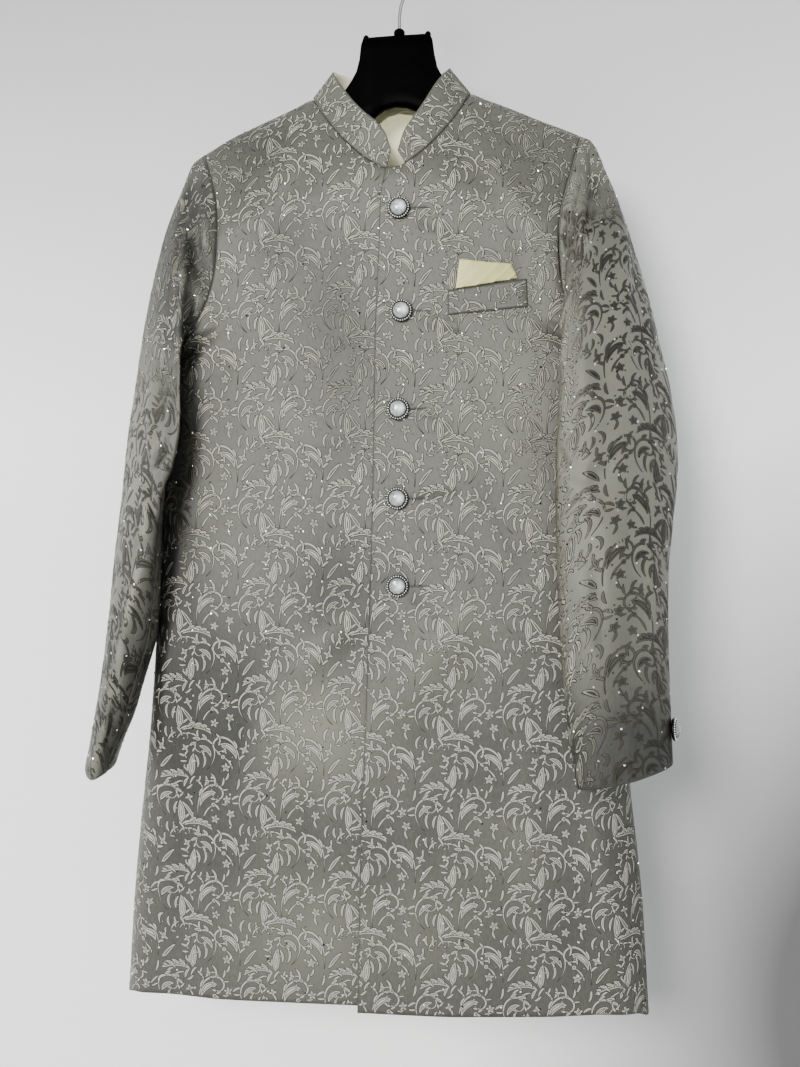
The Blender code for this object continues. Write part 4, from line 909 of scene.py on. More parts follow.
# every leaf, star and dot of one repeat; "leaf" holds across, along, half width and level of each point
def brocadeTile():
    store = {"places": [], "faces": [], "leaf": [], "count": 0, "level": 0}
    for name, *place in brocade["layout"]:
        addFigure(store, name, *place)
    store["level"] = 2
    for x, y, size, points, turn in brocade["stars"]:
        for k in range(points):
            line, half = figureLine(x, y, turn + 360 * k / points, size * 1.55, size * 0.86, 22, 0, 0.36, 4)
            addStrip(store, line, half, False)
    for row in brocade["strays"]:
        addLeaf(store, (*row, 0, 0, 0.5), (0, 0, 0, 1.0, False))
    for x, y, radius in brocade["dots"]:
        addDot(store, x, y, radius)
    return store


# materials: a socket is fed by another socket, a number, a word or a colour
def feed(socket, value):
    if isinstance(value, bpy.types.NodeSocket):
        socket.id_data.links.new(value, socket)
    else:
        socket.default_value = (*value, 1.0) if socket.type == "RGBA" else value


def newNode(tree, kind, feeds=None, **settings):
    node = tree.nodes.new(kind)
    for name, value in settings.items():
        setattr(node, name, value)
    for name, value in (feeds or {}).items():
        feed(node.inputs[name], value)
    return node


def nodeMaterial(name):
    mat = bpy.data.materials.new(name)
    mat.use_nodes = True
    return mat, mat.node_tree, mat.node_tree.nodes["Principled BSDF"]


# name, INPUT or OUTPUT, kind and value of each socket of a node group
def groupSockets(tree, rows):
    for name, way, kind, value in rows:
        socket = tree.interface.new_socket(name=name, in_out=way, socket_type="NodeSocket" + kind)
        if value is not None:
            socket.default_value = value


def mathNode(tree, operation, a, b=None, clamp=False):
    feeds = {0: a} if b is None else {0: a, 1: b}
    return newNode(tree, "ShaderNodeMath", feeds, operation=operation, use_clamp=clamp).outputs[0]


# (value - start) * gain
def stretched(tree, value, start, gain, clamp=True):
    return mathNode(tree, "MULTIPLY", mathNode(tree, "SUBTRACT", value, start), gain, clamp)


# value * gain + more
def scaledSum(tree, value, gain, more, clamp=False):
    return mathNode(tree, "ADD", mathNode(tree, "MULTIPLY", value, gain), more, clamp)


def mixColour(tree, factor, a, b):
    return newNode(tree, "ShaderNodeMix", {0: factor, 6: a, 7: b}, data_type="RGBA").outputs[2]


# stops are (place, colour), from the first to the last
def colourRamp(tree, factor, stops):
    node = newNode(tree, "ShaderNodeValToRGB", {0: factor})
    elements = node.color_ramp.elements
    for k, (place, colour) in ((0, stops[0]), (1, stops[-1])):
        elements[k].position = place
        elements[k].color = (*colour, 1.0)
    for place, colour in stops[1:-1]:
        elements.new(place).color = (*colour, 1.0)
    return node.outputs[0]


# the piece's own place, and cloudy unevenness over it
def clouds(tree, scale, detail=2.0, distortion=0.0):
    place = tree.nodes.new("ShaderNodeTexCoord").outputs["Object"]
    noise = newNode(tree, "ShaderNodeTexNoise", {"Vector": place, "Scale": scale, "Detail": detail,
                                                 "Distortion": distortion})
    return place, noise.outputs[0]


def uvPlace(tree, name):
    return newNode(tree, "ShaderNodeUVMap", uv_map=name).outputs[0]


def pointValue(tree, name):
    return newNode(tree, "ShaderNodeAttribute", attribute_name=name).outputs["Fac"]


def finish(shader, values):
    for name, value in values.items():
        feed(shader.inputs[name], value)


def bumpInto(shader, height, strength, distance):
    bump = newNode(shader.id_data, "ShaderNodeBump",
                   {"Strength": strength, "Distance": distance, "Height": height})
    feed(shader.inputs["Normal"], bump.outputs[0])


# fine threads two ways: a height for the bump and a fleck for the colour
def threadGroup():
    tree = bpy.data.node_groups.new("woven threads", "ShaderNodeTree")
    groupSockets(tree, (
        ("Cloth place", "INPUT", "Vector", None), ("Threads a metre", "INPUT", "Float", 1500.0),
        ("Slub", "INPUT", "Float", 0.4),
        ("Height", "OUTPUT", "Float", None), ("Fleck", "OUTPUT", "Float", None),
    ))
    into = tree.nodes.new("NodeGroupInput").outputs
    turn = mathNode(tree, "MULTIPLY", into["Threads a metre"], 2 * math.pi)
    split = newNode(tree, "ShaderNodeSeparateXYZ", {0: into["Cloth place"]}).outputs
    warp, weft = (mathNode(tree, "SINE", mathNode(tree, "MULTIPLY", split[k], turn)) for k in (0, 1))
    drawn = newNode(tree, "ShaderNodeMapping", {"Vector": into["Cloth place"], "Scale": (420.0, 150.0, 1.0)})
    noise = newNode(tree, "ShaderNodeTexNoise", {"Vector": drawn.outputs[0], "Scale": 1.0, "Detail": 3.0})
    cross = scaledSum(tree, warp, 0.32, mathNode(tree, "MULTIPLY", weft, 0.18))
    slub = stretched(tree, noise.outputs[0], 0.5, into["Slub"], False)
    newNode(tree, "NodeGroupOutput", {"Height": mathNode(tree, "ADD", cross, slub),
                                      "Fleck": mathNode(tree, "ADD", slub, 0.5)})
    return tree


threads = threadGroup()


def threadNodes(tree, place, perMetre, slub):
    node = newNode(tree, "ShaderNodeGroup", node_tree=threads)
    for name, value in (("Cloth place", place), ("Threads a metre", perMetre), ("Slub", slub)):
        feed(node.inputs[name], value)
    return node.outputs


# each Dark, Middle and Light colour is the same satin as painted shade, middle sheen and painted sheen,
# picked by sheenShade; the edge colours draw the dark line round each leaf, partly binding thread and partly
# painted shade
brocadeColours = {
    "groundDark": (0.020, 0.020, 0.017),
    "groundLight": (0.141, 0.139, 0.108),
    "groundFleck": (0.112, 0.110, 0.086),
    "figureDark": (0.007, 0.0065, 0.005),
    "figureMiddle": (0.046, 0.045, 0.034),
    "figureLight": (0.110, 0.110, 0.092),
    "hatchDark": (0.028, 0.027, 0.021),
    "hatchMiddle": (0.340, 0.337, 0.278),
    "hatchLight": (0.335, 0.336, 0.294),
    "edgeDark": (0.020, 0.0195, 0.015),
    "edgeMiddle": (0.004, 0.0036, 0.003),
    "edgeLight": (0.034, 0.033, 0.027),
}
satin = {"metallic": 0.12, "groundRoughness": 0.40, "figureRoughness": 0.50, "anisotropy": 0.55}


def groundMaterial():
    mat, tree, shader = nodeMaterial("brocade ground")
    sheenShade = pointValue(tree, "sheenShade")
    weave = threadNodes(tree, uvPlace(tree, "cloth"), 1400.0, 0.5)
    # painted sheen and shade: sheenShade picks the ground between its shaded and its sheen-lit colour
    base = mixColour(tree, sheenShade, brocadeColours["groundDark"], brocadeColours["groundLight"])
    # the pale flecks are fewer where the painted sheen is dark
    fleck = mathNode(tree, "MULTIPLY", stretched(tree, weave["Fleck"], 0.42, 2.6),
                     scaledSum(tree, sheenShade, 1.4, 0.3, True))
    finish(shader, {
        "Base Color": mixColour(tree, fleck, base, brocadeColours["groundFleck"]),
        "Metallic": satin["metallic"],
        "Roughness": satin["groundRoughness"],
        "Anisotropic": satin["anisotropy"],
        "Specular IOR Level": 0.5,
        "Tangent": newNode(tree, "ShaderNodeTangent", direction_type="UV_MAP", uv_map="cloth").outputs[0],
    })
    bumpInto(shader, weave["Height"], 0.45, 0.0003)
    return mat


# sheenShade 0 paints the figures in shade, darker than the ground, and 1 paints them sheen-lit, lighter
def figureMaterial():
    mat, tree, shader = nodeMaterial("brocade figure")
    sheenShade = pointValue(tree, "sheenShade")
    tones = [colourRamp(tree, sheenShade, [(stop, brocadeColours[kind + label]) for stop, label in
                                     ((0.0, "Dark"), (0.5, "Middle"), (1.0, "Light"))])
             for kind in ("figure", "hatch", "edge")]
    across, along = newNode(tree, "ShaderNodeSeparateXYZ", {0: uvPlace(tree, "leaf")}).outputs[:2]
    # each leaf is bound at its edge by a dark line, partly binding thread and partly painted shade beside the
    # raised leaf; inside it light threads run along it, crossed by slanting ones
    slant = mathNode(tree, "SINE", scaledSum(tree, along, 3.0, mathNode(tree, "MULTIPLY", across, 2.6)))
    away = mathNode(tree, "SUBTRACT", 1.0, mathNode(tree, "ABSOLUTE", across))
    depth = mathNode(tree, "MULTIPLY", away, pointValue(tree, "half"))
    rim = stretched(tree, brocade["bound"] + 0.22, depth, 5.0)
    turn = stretched(tree, depth, brocade["bound"] + 0.45, 2 * math.pi / brocade["threadGap"], False)
    lines = mathNode(tree, "MULTIPLY", mathNode(tree, "COSINE", turn), 0.85)
    hatch = mathNode(tree, "ADD", scaledSum(tree, slant, 0.30, 0.50), lines, True)
    finish(shader, {
        "Base Color": mixColour(tree, rim, mixColour(tree, hatch, tones[0], tones[1]), tones[2]),
        "Roughness": satin["figureRoughness"],
        "Specular IOR Level": 0.14,
    })
    crown = mathNode(tree, "SUBTRACT", 1.0, mathNode(tree, "MULTIPLY", across, across))
    bumpInto(shader, scaledSum(tree, crown, 1.6, mathNode(tree, "MULTIPLY", slant, 0.3)), 0.5, 0.0004)
    return mat


def liningMaterial(name, low, high):
    mat, tree, shader = nodeMaterial(name)
    place, cloud = clouds(tree, 34.0, 3.0)
    weave = threadNodes(tree, place, 1800.0, 0.6)
    finish(shader, {"Base Color": mixColour(tree, cloud, low, high), "Roughness": 0.36,
                    "Specular IOR Level": 0.5, "Sheen Weight": 0.05})
    bumpInto(shader, scaledSum(tree, cloud, 3.0, weave["Height"]), 0.25, 0.0006)
    return mat


def metalMaterial(name, colour, dark, roughness, metallic=1.0):
    mat, tree, shader = nodeMaterial(name)
    cloud = clouds(tree, 420.0, 4.0)[1]
    tarnish = stretched(tree, cloud, 0.42, 2.2)
    finish(shader, {"Base Color": mixColour(tree, tarnish, colour, dark), "Metallic": metallic,
                    "Roughness": scaledSum(tree, cloud, 0.18, roughness - 0.08)})
    return mat


# a pale shell dome: cloudy bands with a little green and pink, darkened as painted shade beside the painted
# highlight
pearl = {
    "bands": ((0.30, (0.12, 0.135, 0.125)), (0.45, (0.17, 0.20, 0.185)), (0.58, (0.27, 0.28, 0.275)),
              (0.72, (0.52, 0.54, 0.53))),
    # painted shade toward the rim of the dome
    "rim": (0.15, 0.175, 0.162),
    "paintedHighlight": (0.97, 0.97, 0.97),
}


def pearlMaterial():
    mat, tree, shader = nodeMaterial("pearl dome")
    cloud = clouds(tree, 210.0, 4.0, 1.2)[1]
    bands = colourRamp(tree, cloud, pearl["bands"])
    # painted shade, greyer and greener, toward the rim of the dome, with a painted white highlight beside its
    # middle
    outward, near = newNode(tree, "ShaderNodeSeparateXYZ", {0: uvPlace(tree, "dome")}).outputs[:2]
    body = mixColour(tree, stretched(tree, outward, 0.50, 1.7), bands, pearl["rim"])
    paintedHighlight = mathNode(tree, "MULTIPLY", near, 0.94)
    finish(shader, {"Base Color": mixColour(tree, paintedHighlight, body, pearl["paintedHighlight"]), "Roughness": 0.16,
                    "Coat Weight": 0.5, "Coat Roughness": 0.04})
    bumpInto(shader, cloud, 0.12, 0.0006)
    return mat


def plasticMaterial():
    mat, tree, shader = nodeMaterial("black hanger plastic")
    cloud = clouds(tree, 95.0, 5.0)[1]
    black = mixColour(tree, cloud, (0.0002, 0.0002, 0.0002), (0.0006, 0.0006, 0.0006))
    finish(shader, {"Base Color": black, "Roughness": scaledSum(tree, cloud, 0.22, 0.30),
                    "Specular IOR Level": 0.010})
    bumpInto(shader, cloud, 0.08, 0.0004)
    return mat


# polished wire: a painted highlight down its middle and painted shade to either side, by the angle it is seen
# at
def wireMaterial():
    mat, tree, shader = nodeMaterial("hook wire steel")
    facing = newNode(tree, "ShaderNodeLayerWeight", {"Blend": 0.5}).outputs["Facing"]
    glint = mixColour(tree, clouds(tree, 60.0)[1], (0.45, 0.45, 0.45), (0.95, 0.95, 0.95))
    side = stretched(tree, facing, 0.10, 3.4)
    finish(shader, {"Base Color": mixColour(tree, side, glint, (0.006, 0.007, 0.007)), "Metallic": 0.9,
                    "Roughness": 0.18, "Specular IOR Level": 0.2})
    return mat


def stoneMaterial():
    mat, tree, shader = nodeMaterial("small clear stone")
    # painted reflection: by noise some stones are near-black mirrors and the rest near white, standing in for
    # dark and bright glints
    spread = stretched(tree, clouds(tree, 70.0)[1], 0.39, 7.0)
    finish(shader, {"Base Color": mixColour(tree, spread, (0.03, 0.03, 0.03), (0.98, 0.98, 0.98)),
                    "Metallic": 1.0, "Roughness": 0.10})
    return mat


groundLook = groundMaterial()
figureLook = figureMaterial()
liningLook = liningMaterial("cream satin", (0.79, 0.78, 0.52), (0.91, 0.895, 0.64))
squareLook = liningMaterial("pale yellow satin", (0.350, 0.330, 0.112), (0.625, 0.590, 0.262))
beadLook = metalMaterial("button bead silver", (0.96, 0.96, 0.94), (0.62, 0.62, 0.60), 0.22, 0.45)
bezelLook = metalMaterial("button bezel dark", (0.020, 0.020, 0.021), (0.006, 0.006, 0.006), 0.40)
wireLook = wireMaterial()
pearlLook = pearlMaterial()
plasticLook = plasticMaterial()
stoneLook = stoneMaterial()
figureThread = metalMaterial("silver sewing thread", (0.20, 0.20, 0.185), (0.10, 0.10, 0.09), 0.5)
# dark grey thread; along the front edge, the collar base, the armholes and the buttonhole slits its darkness
# also stands in as painted shade
threadAndShadeLook, _, threadShader = nodeMaterial("grey sewing thread and painted seam shade")
finish(threadShader, {"Base Color": (0.05, 0.05, 0.045), "Roughness": 0.6})
print("materials ready")


# rows and columns of points as quads
def gridQuads(rows, columns):
    r, c = np.meshgrid(np.arange(rows - 1), np.arange(columns - 1), indexing="ij")
    a = (r * columns + c).ravel()
    return np.stack([a, a + columns, a + columns + 1, a + 1], axis=1)


# building meshes; numbers are point attributes, inner gives each face its material
def meshObject(name, verts, faces, materials, uvName=None, uv=None, numbers=None, inner=None):
    mesh = bpy.data.meshes.new(name)
    mesh.from_pydata([tuple(v) for v in np.asarray(verts, float).tolist()], [], faces)
    for mat in materials:
        mesh.materials.append(mat)
    if uvName:
        layer = mesh.uv_layers.new(name=uvName)
        index = np.zeros(len(mesh.loops), dtype=np.int32)
        mesh.loops.foreach_get("vertex_index", index)
        layer.data.foreach_set("uv", np.asarray(uv, float)[index].astype(np.float32).ravel())
    for label, values in (numbers or {}).items():
        attribute = mesh.attributes.new(label, "FLOAT", "POINT")
        attribute.data.foreach_set("value", np.asarray(values, float).astype(np.float32).ravel())
    if inner is not None:
        mesh.polygons.foreach_set("material_index", np.asarray(inner, dtype=np.int32))
    mesh.shade_smooth()
    mesh.update()
    obj = bpy.data.objects.new(name, mesh)
    bpy.context.scene.collection.objects.link(obj)
    return obj


# a thin closed wall of cloth: its outer side is points, its lining lies inside
def shell(name, points, normals, wall, flip, places, sheenShade, node):
    rows, columns = points.shape[:2]
    total = rows * columns
    inside = points - normals * wall
    verts = np.concatenate([points.reshape(-1, 3), inside.reshape(-1, 3)])
    quads = gridQuads(rows, columns)
    loop = np.concatenate([np.arange(columns), np.arange(1, rows) * columns + columns - 1,
                           (rows - 1) * columns + np.arange(columns - 2, -1, -1),
                           np.arange(rows - 2, 0, -1) * columns])
    following = np.roll(loop, -1)
    rim = np.stack([loop, following, following + total, loop + total], axis=1)
    faces = np.concatenate([quads, quads[:, ::-1] + total, rim])
    if flip:
        faces = faces[:, ::-1]
    marks = np.repeat((0, 1, 0), (len(quads), len(quads), len(rim)))
    uv = np.stack([places[0].ravel(), -places[1].ravel()], axis=1)
    obj = meshObject(name, verts, faces.tolist(), (groundLook, liningLook), "cloth", np.tile(uv, (2, 1)),
                     {"sheenShade": np.tile(sheenShade.ravel(), 2)}, marks)
    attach(obj, "root")
    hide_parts(node)
    return obj


# where the satin of the body catches more or less light: x, drop, half width, half height, strength
sheenRows = metres((
    (-84, 838, 60, 60, 1.16), (-197, 818, 55, 75, -0.8), (143, 860, 50, 80, -0.03),
    (-94, 1050, 75, 60, 0.78), (45, 1050, 50, 60, 0.32), (0, 150, 80, 40, 0.16),
    (215, 1050, 50, 80, -0.06), (52, 735, 45, 60, 0.24), (10, 800, 35, 60, 0.18),
    (-180, 640, 30, 60, 0.12), (110, 960, 60, 50, 0.16), (-180, 965, 50, 50, -0.16),
    (20, 940, 50, 45, -0.14), (-110, 250, 40, 30, 0.06), (-150, 205, 60, 35, -0.3),
    (132, 215, 50, 40, 0.14), (-60, 400, 40, 75, -0.22), (-62, 694, 38, 60, -0.56),
    (-55, 550, 35, 60, -0.14), (-118, 320, 35, 40, -0.32), (-221, 490, 17, 105, -0.8),
    (-229, 630, 18, 115, -0.9), (166, 520, 9, 140, -0.2), (145, 500, 30, 60, 0.3),
), plain=(4,))
# painted shade: where the figures of the body turn dark against the ground, also beside the arms
figureShadeRows = metres((
    (-66, 400, 34, 55, -0.22), (-50, 470, 32, 60, -0.2), (-165, 220, 50, 40, -0.24),
    (105, 360, 50, 50, -0.14), (140, 240, 40, 50, -0.2), (-120, 560, 50, 40, 0.16),
    (90, 600, 60, 50, 0.14), (152, 540, 25, 120, -0.22), (-222, 570, 17, 120, -0.76),
    (215, 1050, 50, 80, -0.26), (-62, 694, 38, 60, -0.3), (-197, 818, 50, 70, -0.34),
    (-115, 319, 35, 40, -0.12),
), plain=(4,))


# where a soft fold ends one sheen and starts another: x0, drop0, x1, drop1, reach, strength
sheenSteps = metres((
    (4, 785, 86, 672, 45, 0.26), (-20, 700, -105, 770, 40, 0.2), (-150, 470, -60, 520, 40, 0.14),
    (60, 420, 150, 470, 40, 0.12), (-160, 930, -60, 955, 35, 0.2), (60, 905, 190, 945, 35, 0.16),
), plain=(5,))


# each step is full along its line and fades away to one side of it
def stepSum(x, drop, rows):
    total = 0.0 * x
    for *ends, reach, strength in rows:
        across, full = fromLine(x, drop, ends, 0.3)
        total = total + strength * full * smooth(-across / 0.004) * np.exp(np.minimum(across, 0) / reach)
    return total


def patchSum(x, drop, rows):
    total = 0.0 * x
    for px, pd, wide, tall, strength in rows:
        total = total + strength * np.exp(-((x - px) / wide) ** 2 - ((drop - pd) / tall) ** 2)
    return total


# painted sheen and shade: its level at the chest, how much it changes down the skirt and where, then how
# strong each effect is
groundSheenSettings = {"chest": 0.375, "skirt": -0.185, "turn": (0.46, 0.40), "patches": 0.68, "cloudy": 0.06,
              "creases": 46}
figureSheenSettings = {"chest": 0.48, "skirt": 0.46, "turn": (0.50, 0.34), "cloudy": 0.08, "raggedTurn": 0.05}


# painted sheen and shade of the ground: light at the chest, a little darker down the skirt
def groundSheenShade(x, drop):
    sheenShade = groundSheenSettings["chest"] + groundSheenSettings["skirt"] * startingAt(drop, groundSheenSettings["turn"])
    sheenShade = sheenShade + groundSheenSettings["patches"] * patchSum(x, drop, sheenRows) + stepSum(x, drop, sheenSteps)
    sheenShade = sheenShade + groundSheenSettings["cloudy"] * unevenness(x * 0.8, drop * 0.8, 2)
    # creases paint sheen on their ridges and shade in their hollows
    for row in creaseRows:
        if row[0] < 0:
            sheenShade = sheenShade + groundSheenSettings["creases"] * row[6] * lineShare(x, drop, row[1:6])
    return np.clip(sheenShade, 0, 1)


# painted sheen of the figures: near the ground at the chest, light on the skirt
def figureSheenShade(x, drop):
    ragged = drop + figureSheenSettings["raggedTurn"] * unevenness(x * 0.7, drop * 0.5, 5)
    sheenShade = figureSheenSettings["chest"] + figureSheenSettings["skirt"] * startingAt(ragged, figureSheenSettings["turn"])
    sheenShade = sheenShade + figureSheenSettings["cloudy"] * unevenness(x, drop, 4) + patchSum(x, drop, figureShadeRows)
    return np.clip(sheenShade, 0, 1)


# the flat cloth of a panel, for laying figures and stones on it
def panelTree(places):
    u, v = places
    verts = np.stack([u.ravel(), v.ravel(), np.zeros(u.size)], axis=1)
    quads = gridQuads(*u.shape)
    triangles = np.concatenate([quads[:, :3], quads[:, [0, 2, 3]]])
    tree = BVHTree.FromPolygons(verts.tolist(), triangles.tolist(), all_triangles=True)
    return tree, verts[:, :2], triangles


# where points of the flat cloth lie on the panel, their normals, and which are on it
def onPanel(panel, flat):
    tree, verts, triangles = panel["tree"]
    index = np.full(len(flat), -1)
    down = Vector((0, 0, -1))
    for k, (u, v) in enumerate(flat.tolist()):
        hit = tree.ray_cast(Vector((u, v, 1.0)), down, 2.0)
        if hit[2] is not None:
            index[k] = hit[2]
    found = index >= 0
    tri = triangles[np.where(found, index, 0)]
    a, b, c = (verts[tri[:, k]] for k in range(3))
    ab, ac, ap = b - a, c - a, flat - a
    area = ab[:, 0] * ac[:, 1] - ab[:, 1] * ac[:, 0]
    area = np.where(np.abs(area) < 1e-14, 1e-14, area)
    s = (ap[:, 0] * ac[:, 1] - ap[:, 1] * ac[:, 0]) / area
    t = (ab[:, 0] * ap[:, 1] - ab[:, 1] * ap[:, 0]) / area
    weights = np.stack([1 - s - t, s, t], axis=1)[:, :, None]
    spots = (panel["points"].reshape(-1, 3)[tri] * weights).sum(axis=1)
    normals = (panel["normals"].reshape(-1, 3)[tri] * weights).sum(axis=1)
    normals /= np.maximum(np.linalg.norm(normals, axis=1, keepdims=True), 1e-9)
    return spots, normals, found


# how many repeats it takes to cover a panel, starting from its shift
def repeatRange(values, start, step, more=0):
    first, last = (values.min() - start) / step, (values.max() - start) / step
    return range(math.floor(first) - 1, math.ceil(last) + 1 + more)


brocadeLift = {"rim": 0.00005, "crown": 0.00012, "level": 0.00008}
tile = brocadeTile()
tilePlaces = np.concatenate(tile["places"]) / 1000
tileLeaf = np.concatenate(tile["leaf"])
tileFaces = np.concatenate(tile["faces"])


def layFigures(name, panel, shift, sheenShadeOf):
    u, v = panel["places"]
    wide = brocade["repeatAcross"] / 1000
    tall = brocade["repeatDown"] / 1000
    places, faces = [], []
    for i in repeatRange(u, shift[0], wide):
        for j in repeatRange(v, shift[1], tall, 1):
            faces.append(tileFaces + len(places) * len(tilePlaces))
            places.append(tilePlaces * (1, -1) + (shift[0] + i * wide, shift[1] + j * tall))
    leaf = np.tile(tileLeaf, (len(places), 1))
    places, faces = np.concatenate(places), np.concatenate(faces)
    near = ((places[:, 0] > u.min() - 0.01) & (places[:, 0] < u.max() + 0.01)
            & (places[:, 1] > v.min() - 0.01) & (places[:, 1] < v.max() + 0.01))
    spots, normals = np.zeros((len(places), 3)), np.zeros((len(places), 3))
    found = np.zeros(len(places), bool)
    spots[near], normals[near], found[near] = onPanel(panel, places[near])
    keep = found[faces].all(axis=1)
    faces = faces[keep]
    used = np.unique(faces)
    new = np.full(len(places), -1)
    new[used] = np.arange(len(used))
    lift = np.where(np.abs(leaf[used, 0]) > 0.5, brocadeLift["rim"], brocadeLift["crown"])
    lift = lift + leaf[used, 3] * brocadeLift["level"]
    verts = spots[used] + normals[used] * lift[:, None]
    faces = new[faces]
    # faces turn their front out of the cloth
    a, b, c = (verts[faces[:, k]] for k in range(3))
    turned = (np.cross(b - a, c - a) * normals[used][faces[:, 0]]).sum(axis=1) < 0
    faces[turned] = faces[turned][:, ::-1]
    polygons = [[v for k, v in enumerate(f) if v != f[k - 1]] for f in faces.tolist()]
    sheenShade = sheenShadeOf(verts[:, 0], -verts[:, 2])
    obj = meshObject(name, verts, polygons, (figureLook,), "leaf", leaf[used, :2],
                     {"sheenShade": sheenShade, "half": leaf[used, 2]})
    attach(obj, "root")
    return obj


# the cloth panels
sheetRows = []


def hungSheet(obj, points, places):
    u, v = places
    size = (float(u.max() - u.min()), float(v.max() - v.min()))
    diagonals = points[1:, 1:] - points[:-1, :-1], points[1:, :-1] - points[:-1, 1:]
    area = min(float(np.linalg.norm(np.cross(*diagonals), axis=2).sum() / 2), size[0] * size[1])
    sheetRows.append((obj.name, round(size[0] * 1000), round(size[1] * 1000), round(area, 4)))


# a shell with its woven figures and small stones; the figures of a sleeve are woven wider by 1 / narrow
def clothPanel(label, node, points, normals, flip, wall, places, tones, shift, narrow=1.0):
    x, drop = points[:, :, 0], -points[:, :, 2]
    laid = (places[0] * narrow, places[1])
    cloth = shell(label, points, normals, wall, flip, laid, tones[0](x, drop), node)
    panel = {"points": points, "normals": normals, "places": laid, "tree": panelTree(laid)}
    figures = layFigures(label + "_figures", panel, shift, tones[1])
    stones = layStones(label + "_stones", panel, shift)
    hungSheet(cloth, points, places)
    print(label, len(cloth.data.polygons), len(figures.data.polygons), len(stones.data.polygons))
    return panel


# small repeated shapes, set on points by Geometry Nodes
def settingGroup():
    tree = bpy.data.node_groups.new("set small shapes", "GeometryNodeTree")
    groupSockets(tree, (("Geometry", "INPUT", "Geometry", None), ("Shape", "INPUT", "Object", None),
                        ("Look", "INPUT", "Material", None), ("Geometry", "OUTPUT", "Geometry", None)))
    into = tree.nodes.new("NodeGroupInput").outputs

    def named(name, kind):
        return newNode(tree, "GeometryNodeInputNamedAttribute", {"Name": name}, data_type=kind).outputs[0]

    facing = newNode(tree, "FunctionNodeAlignRotationToVector", {"Vector": named("facing", "FLOAT_VECTOR")},
                     axis="Z", pivot_axis="AUTO").outputs[0]
    turned = newNode(tree, "FunctionNodeAlignRotationToVector",
                     {"Rotation": facing, "Vector": named("along", "FLOAT_VECTOR")},
                     axis="X", pivot_axis="Z").outputs[0]
    shape = newNode(tree, "GeometryNodeObjectInfo", {"Object": into["Shape"]}).outputs["Geometry"]
    placed = newNode(tree, "GeometryNodeInstanceOnPoints",
                     {"Points": into["Geometry"], "Instance": shape, "Rotation": turned,
                      "Scale": named("size", "FLOAT")}).outputs[0]
    real = newNode(tree, "GeometryNodeRealizeInstances", {0: placed}).outputs[0]
    look = newNode(tree, "GeometryNodeSetMaterial", {"Geometry": real, "Material": into["Look"]}).outputs[0]
    newNode(tree, "NodeGroupOutput", {0: look})
    return tree


setting = settingGroup()


def setShapes(name, spots, facing, along, sizes, shape, look):
    mesh = bpy.data.meshes.new(name + " places")
    mesh.from_pydata(np.asarray(spots, float).tolist(), [], [])
    rows = (("facing", "FLOAT_VECTOR", "vector", facing), ("along", "FLOAT_VECTOR", "vector", along),
            ("size", "FLOAT", "value", sizes))
    for label, kind, key, values in rows:
        attribute = mesh.attributes.new(label, kind, "POINT")
        attribute.data.foreach_set(key, np.asarray(values, float).astype(np.float32).ravel())
    obj = bpy.data.objects.new(name, mesh)
    bpy.context.scene.collection.objects.link(obj)
    modifier = obj.modifiers.new("set", "NODES")
    modifier.node_group = setting
    sockets = {s.name: s.identifier for s in setting.interface.items_tree if s.in_out == "INPUT"}
    modifier[sockets["Shape"]] = shape
    modifier[sockets["Look"]] = look
    bpy.context.view_layer.update()
    evaluated = obj.evaluated_get(bpy.context.evaluated_depsgraph_get())
    made = bpy.data.meshes.new_from_object(evaluated)
    obj.modifiers.remove(modifier)
    obj.data = made
    for label, *_ in rows:
        if label in made.attributes:
            made.attributes.remove(made.attributes[label])
    bpy.data.meshes.remove(mesh)
    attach(obj, "root")
    return obj


def shapeObject(name, verts, faces):
    mesh = bpy.data.meshes.new(name)
    mesh.from_pydata(verts, [], faces)
    mesh.update()
    return bpy.data.objects.new(name, mesh)


# a profile of (radius, height) turned round +Z, from its top to its bottom
def turnedRows(rows, steps):
    verts, faces, rings = [], [], []
    for radius, height in rows:
        if radius <= 1e-6:
            rings.append([len(verts)] * steps)
            verts.append((0.0, 0.0, height))
        else:
            rings.append([len(verts) + k for k in range(steps)])
            verts += [(radius * math.cos(2 * math.pi * k / steps), radius * math.sin(2 * math.pi * k / steps),
                       height) for k in range(steps)]
    for upper, lower in zip(rings, rings[1:]):
        for k in range(steps):
            n = (k + 1) % steps
            face = []
            for vert in (upper[k], lower[k], lower[n], upper[n]):
                if vert not in face:        # at a pole
                    face.append(vert)
            faces.append(face)
    return verts, faces


stoneShape = shapeObject("stone shape", *turnedRows(
    ((0.0, 0.00080), (0.00062, 0.00070), (0.00112, 0.00030), (0.00112, 0.0)), 6))
beadShape = shapeObject("bead shape", *turnedRows(
    ((0.0, 0.00090), (0.00058, 0.00070), (0.00090, 0.00022), (0.00084, -0.00036), (0.0, -0.00085)), 8))
stones = {"across": 0.0397, "down": 0.0346, "least": 0.92, "range": 0.16, "turning": 0.6}


def layStones(name, panel, shift):
    u, v = panel["places"]
    wide, tall = stones["across"], stones["down"] / 2
    flat = [(shift[0] + (i + 0.5 * (j % 2)) * wide, shift[1] + j * tall)
            for j in repeatRange(v, shift[1], tall)[1:] for i in repeatRange(u, shift[0], wide)]
    spots, normals, found = onPanel(panel, np.array(flat))
    spots, normals = spots[found], normals[found]
    along = np.cross(normals, (0.0, 1.0, 0.3))
    seeded = np.random.default_rng(7)
    sizes = stones["least"] + stones["range"] * seeded.random(len(spots))
    along = along + stones["turning"] * seeded.standard_normal(along.shape)
    return setShapes(name, spots + normals * 0.0001, normals, along, sizes, stoneShape, stoneLook)


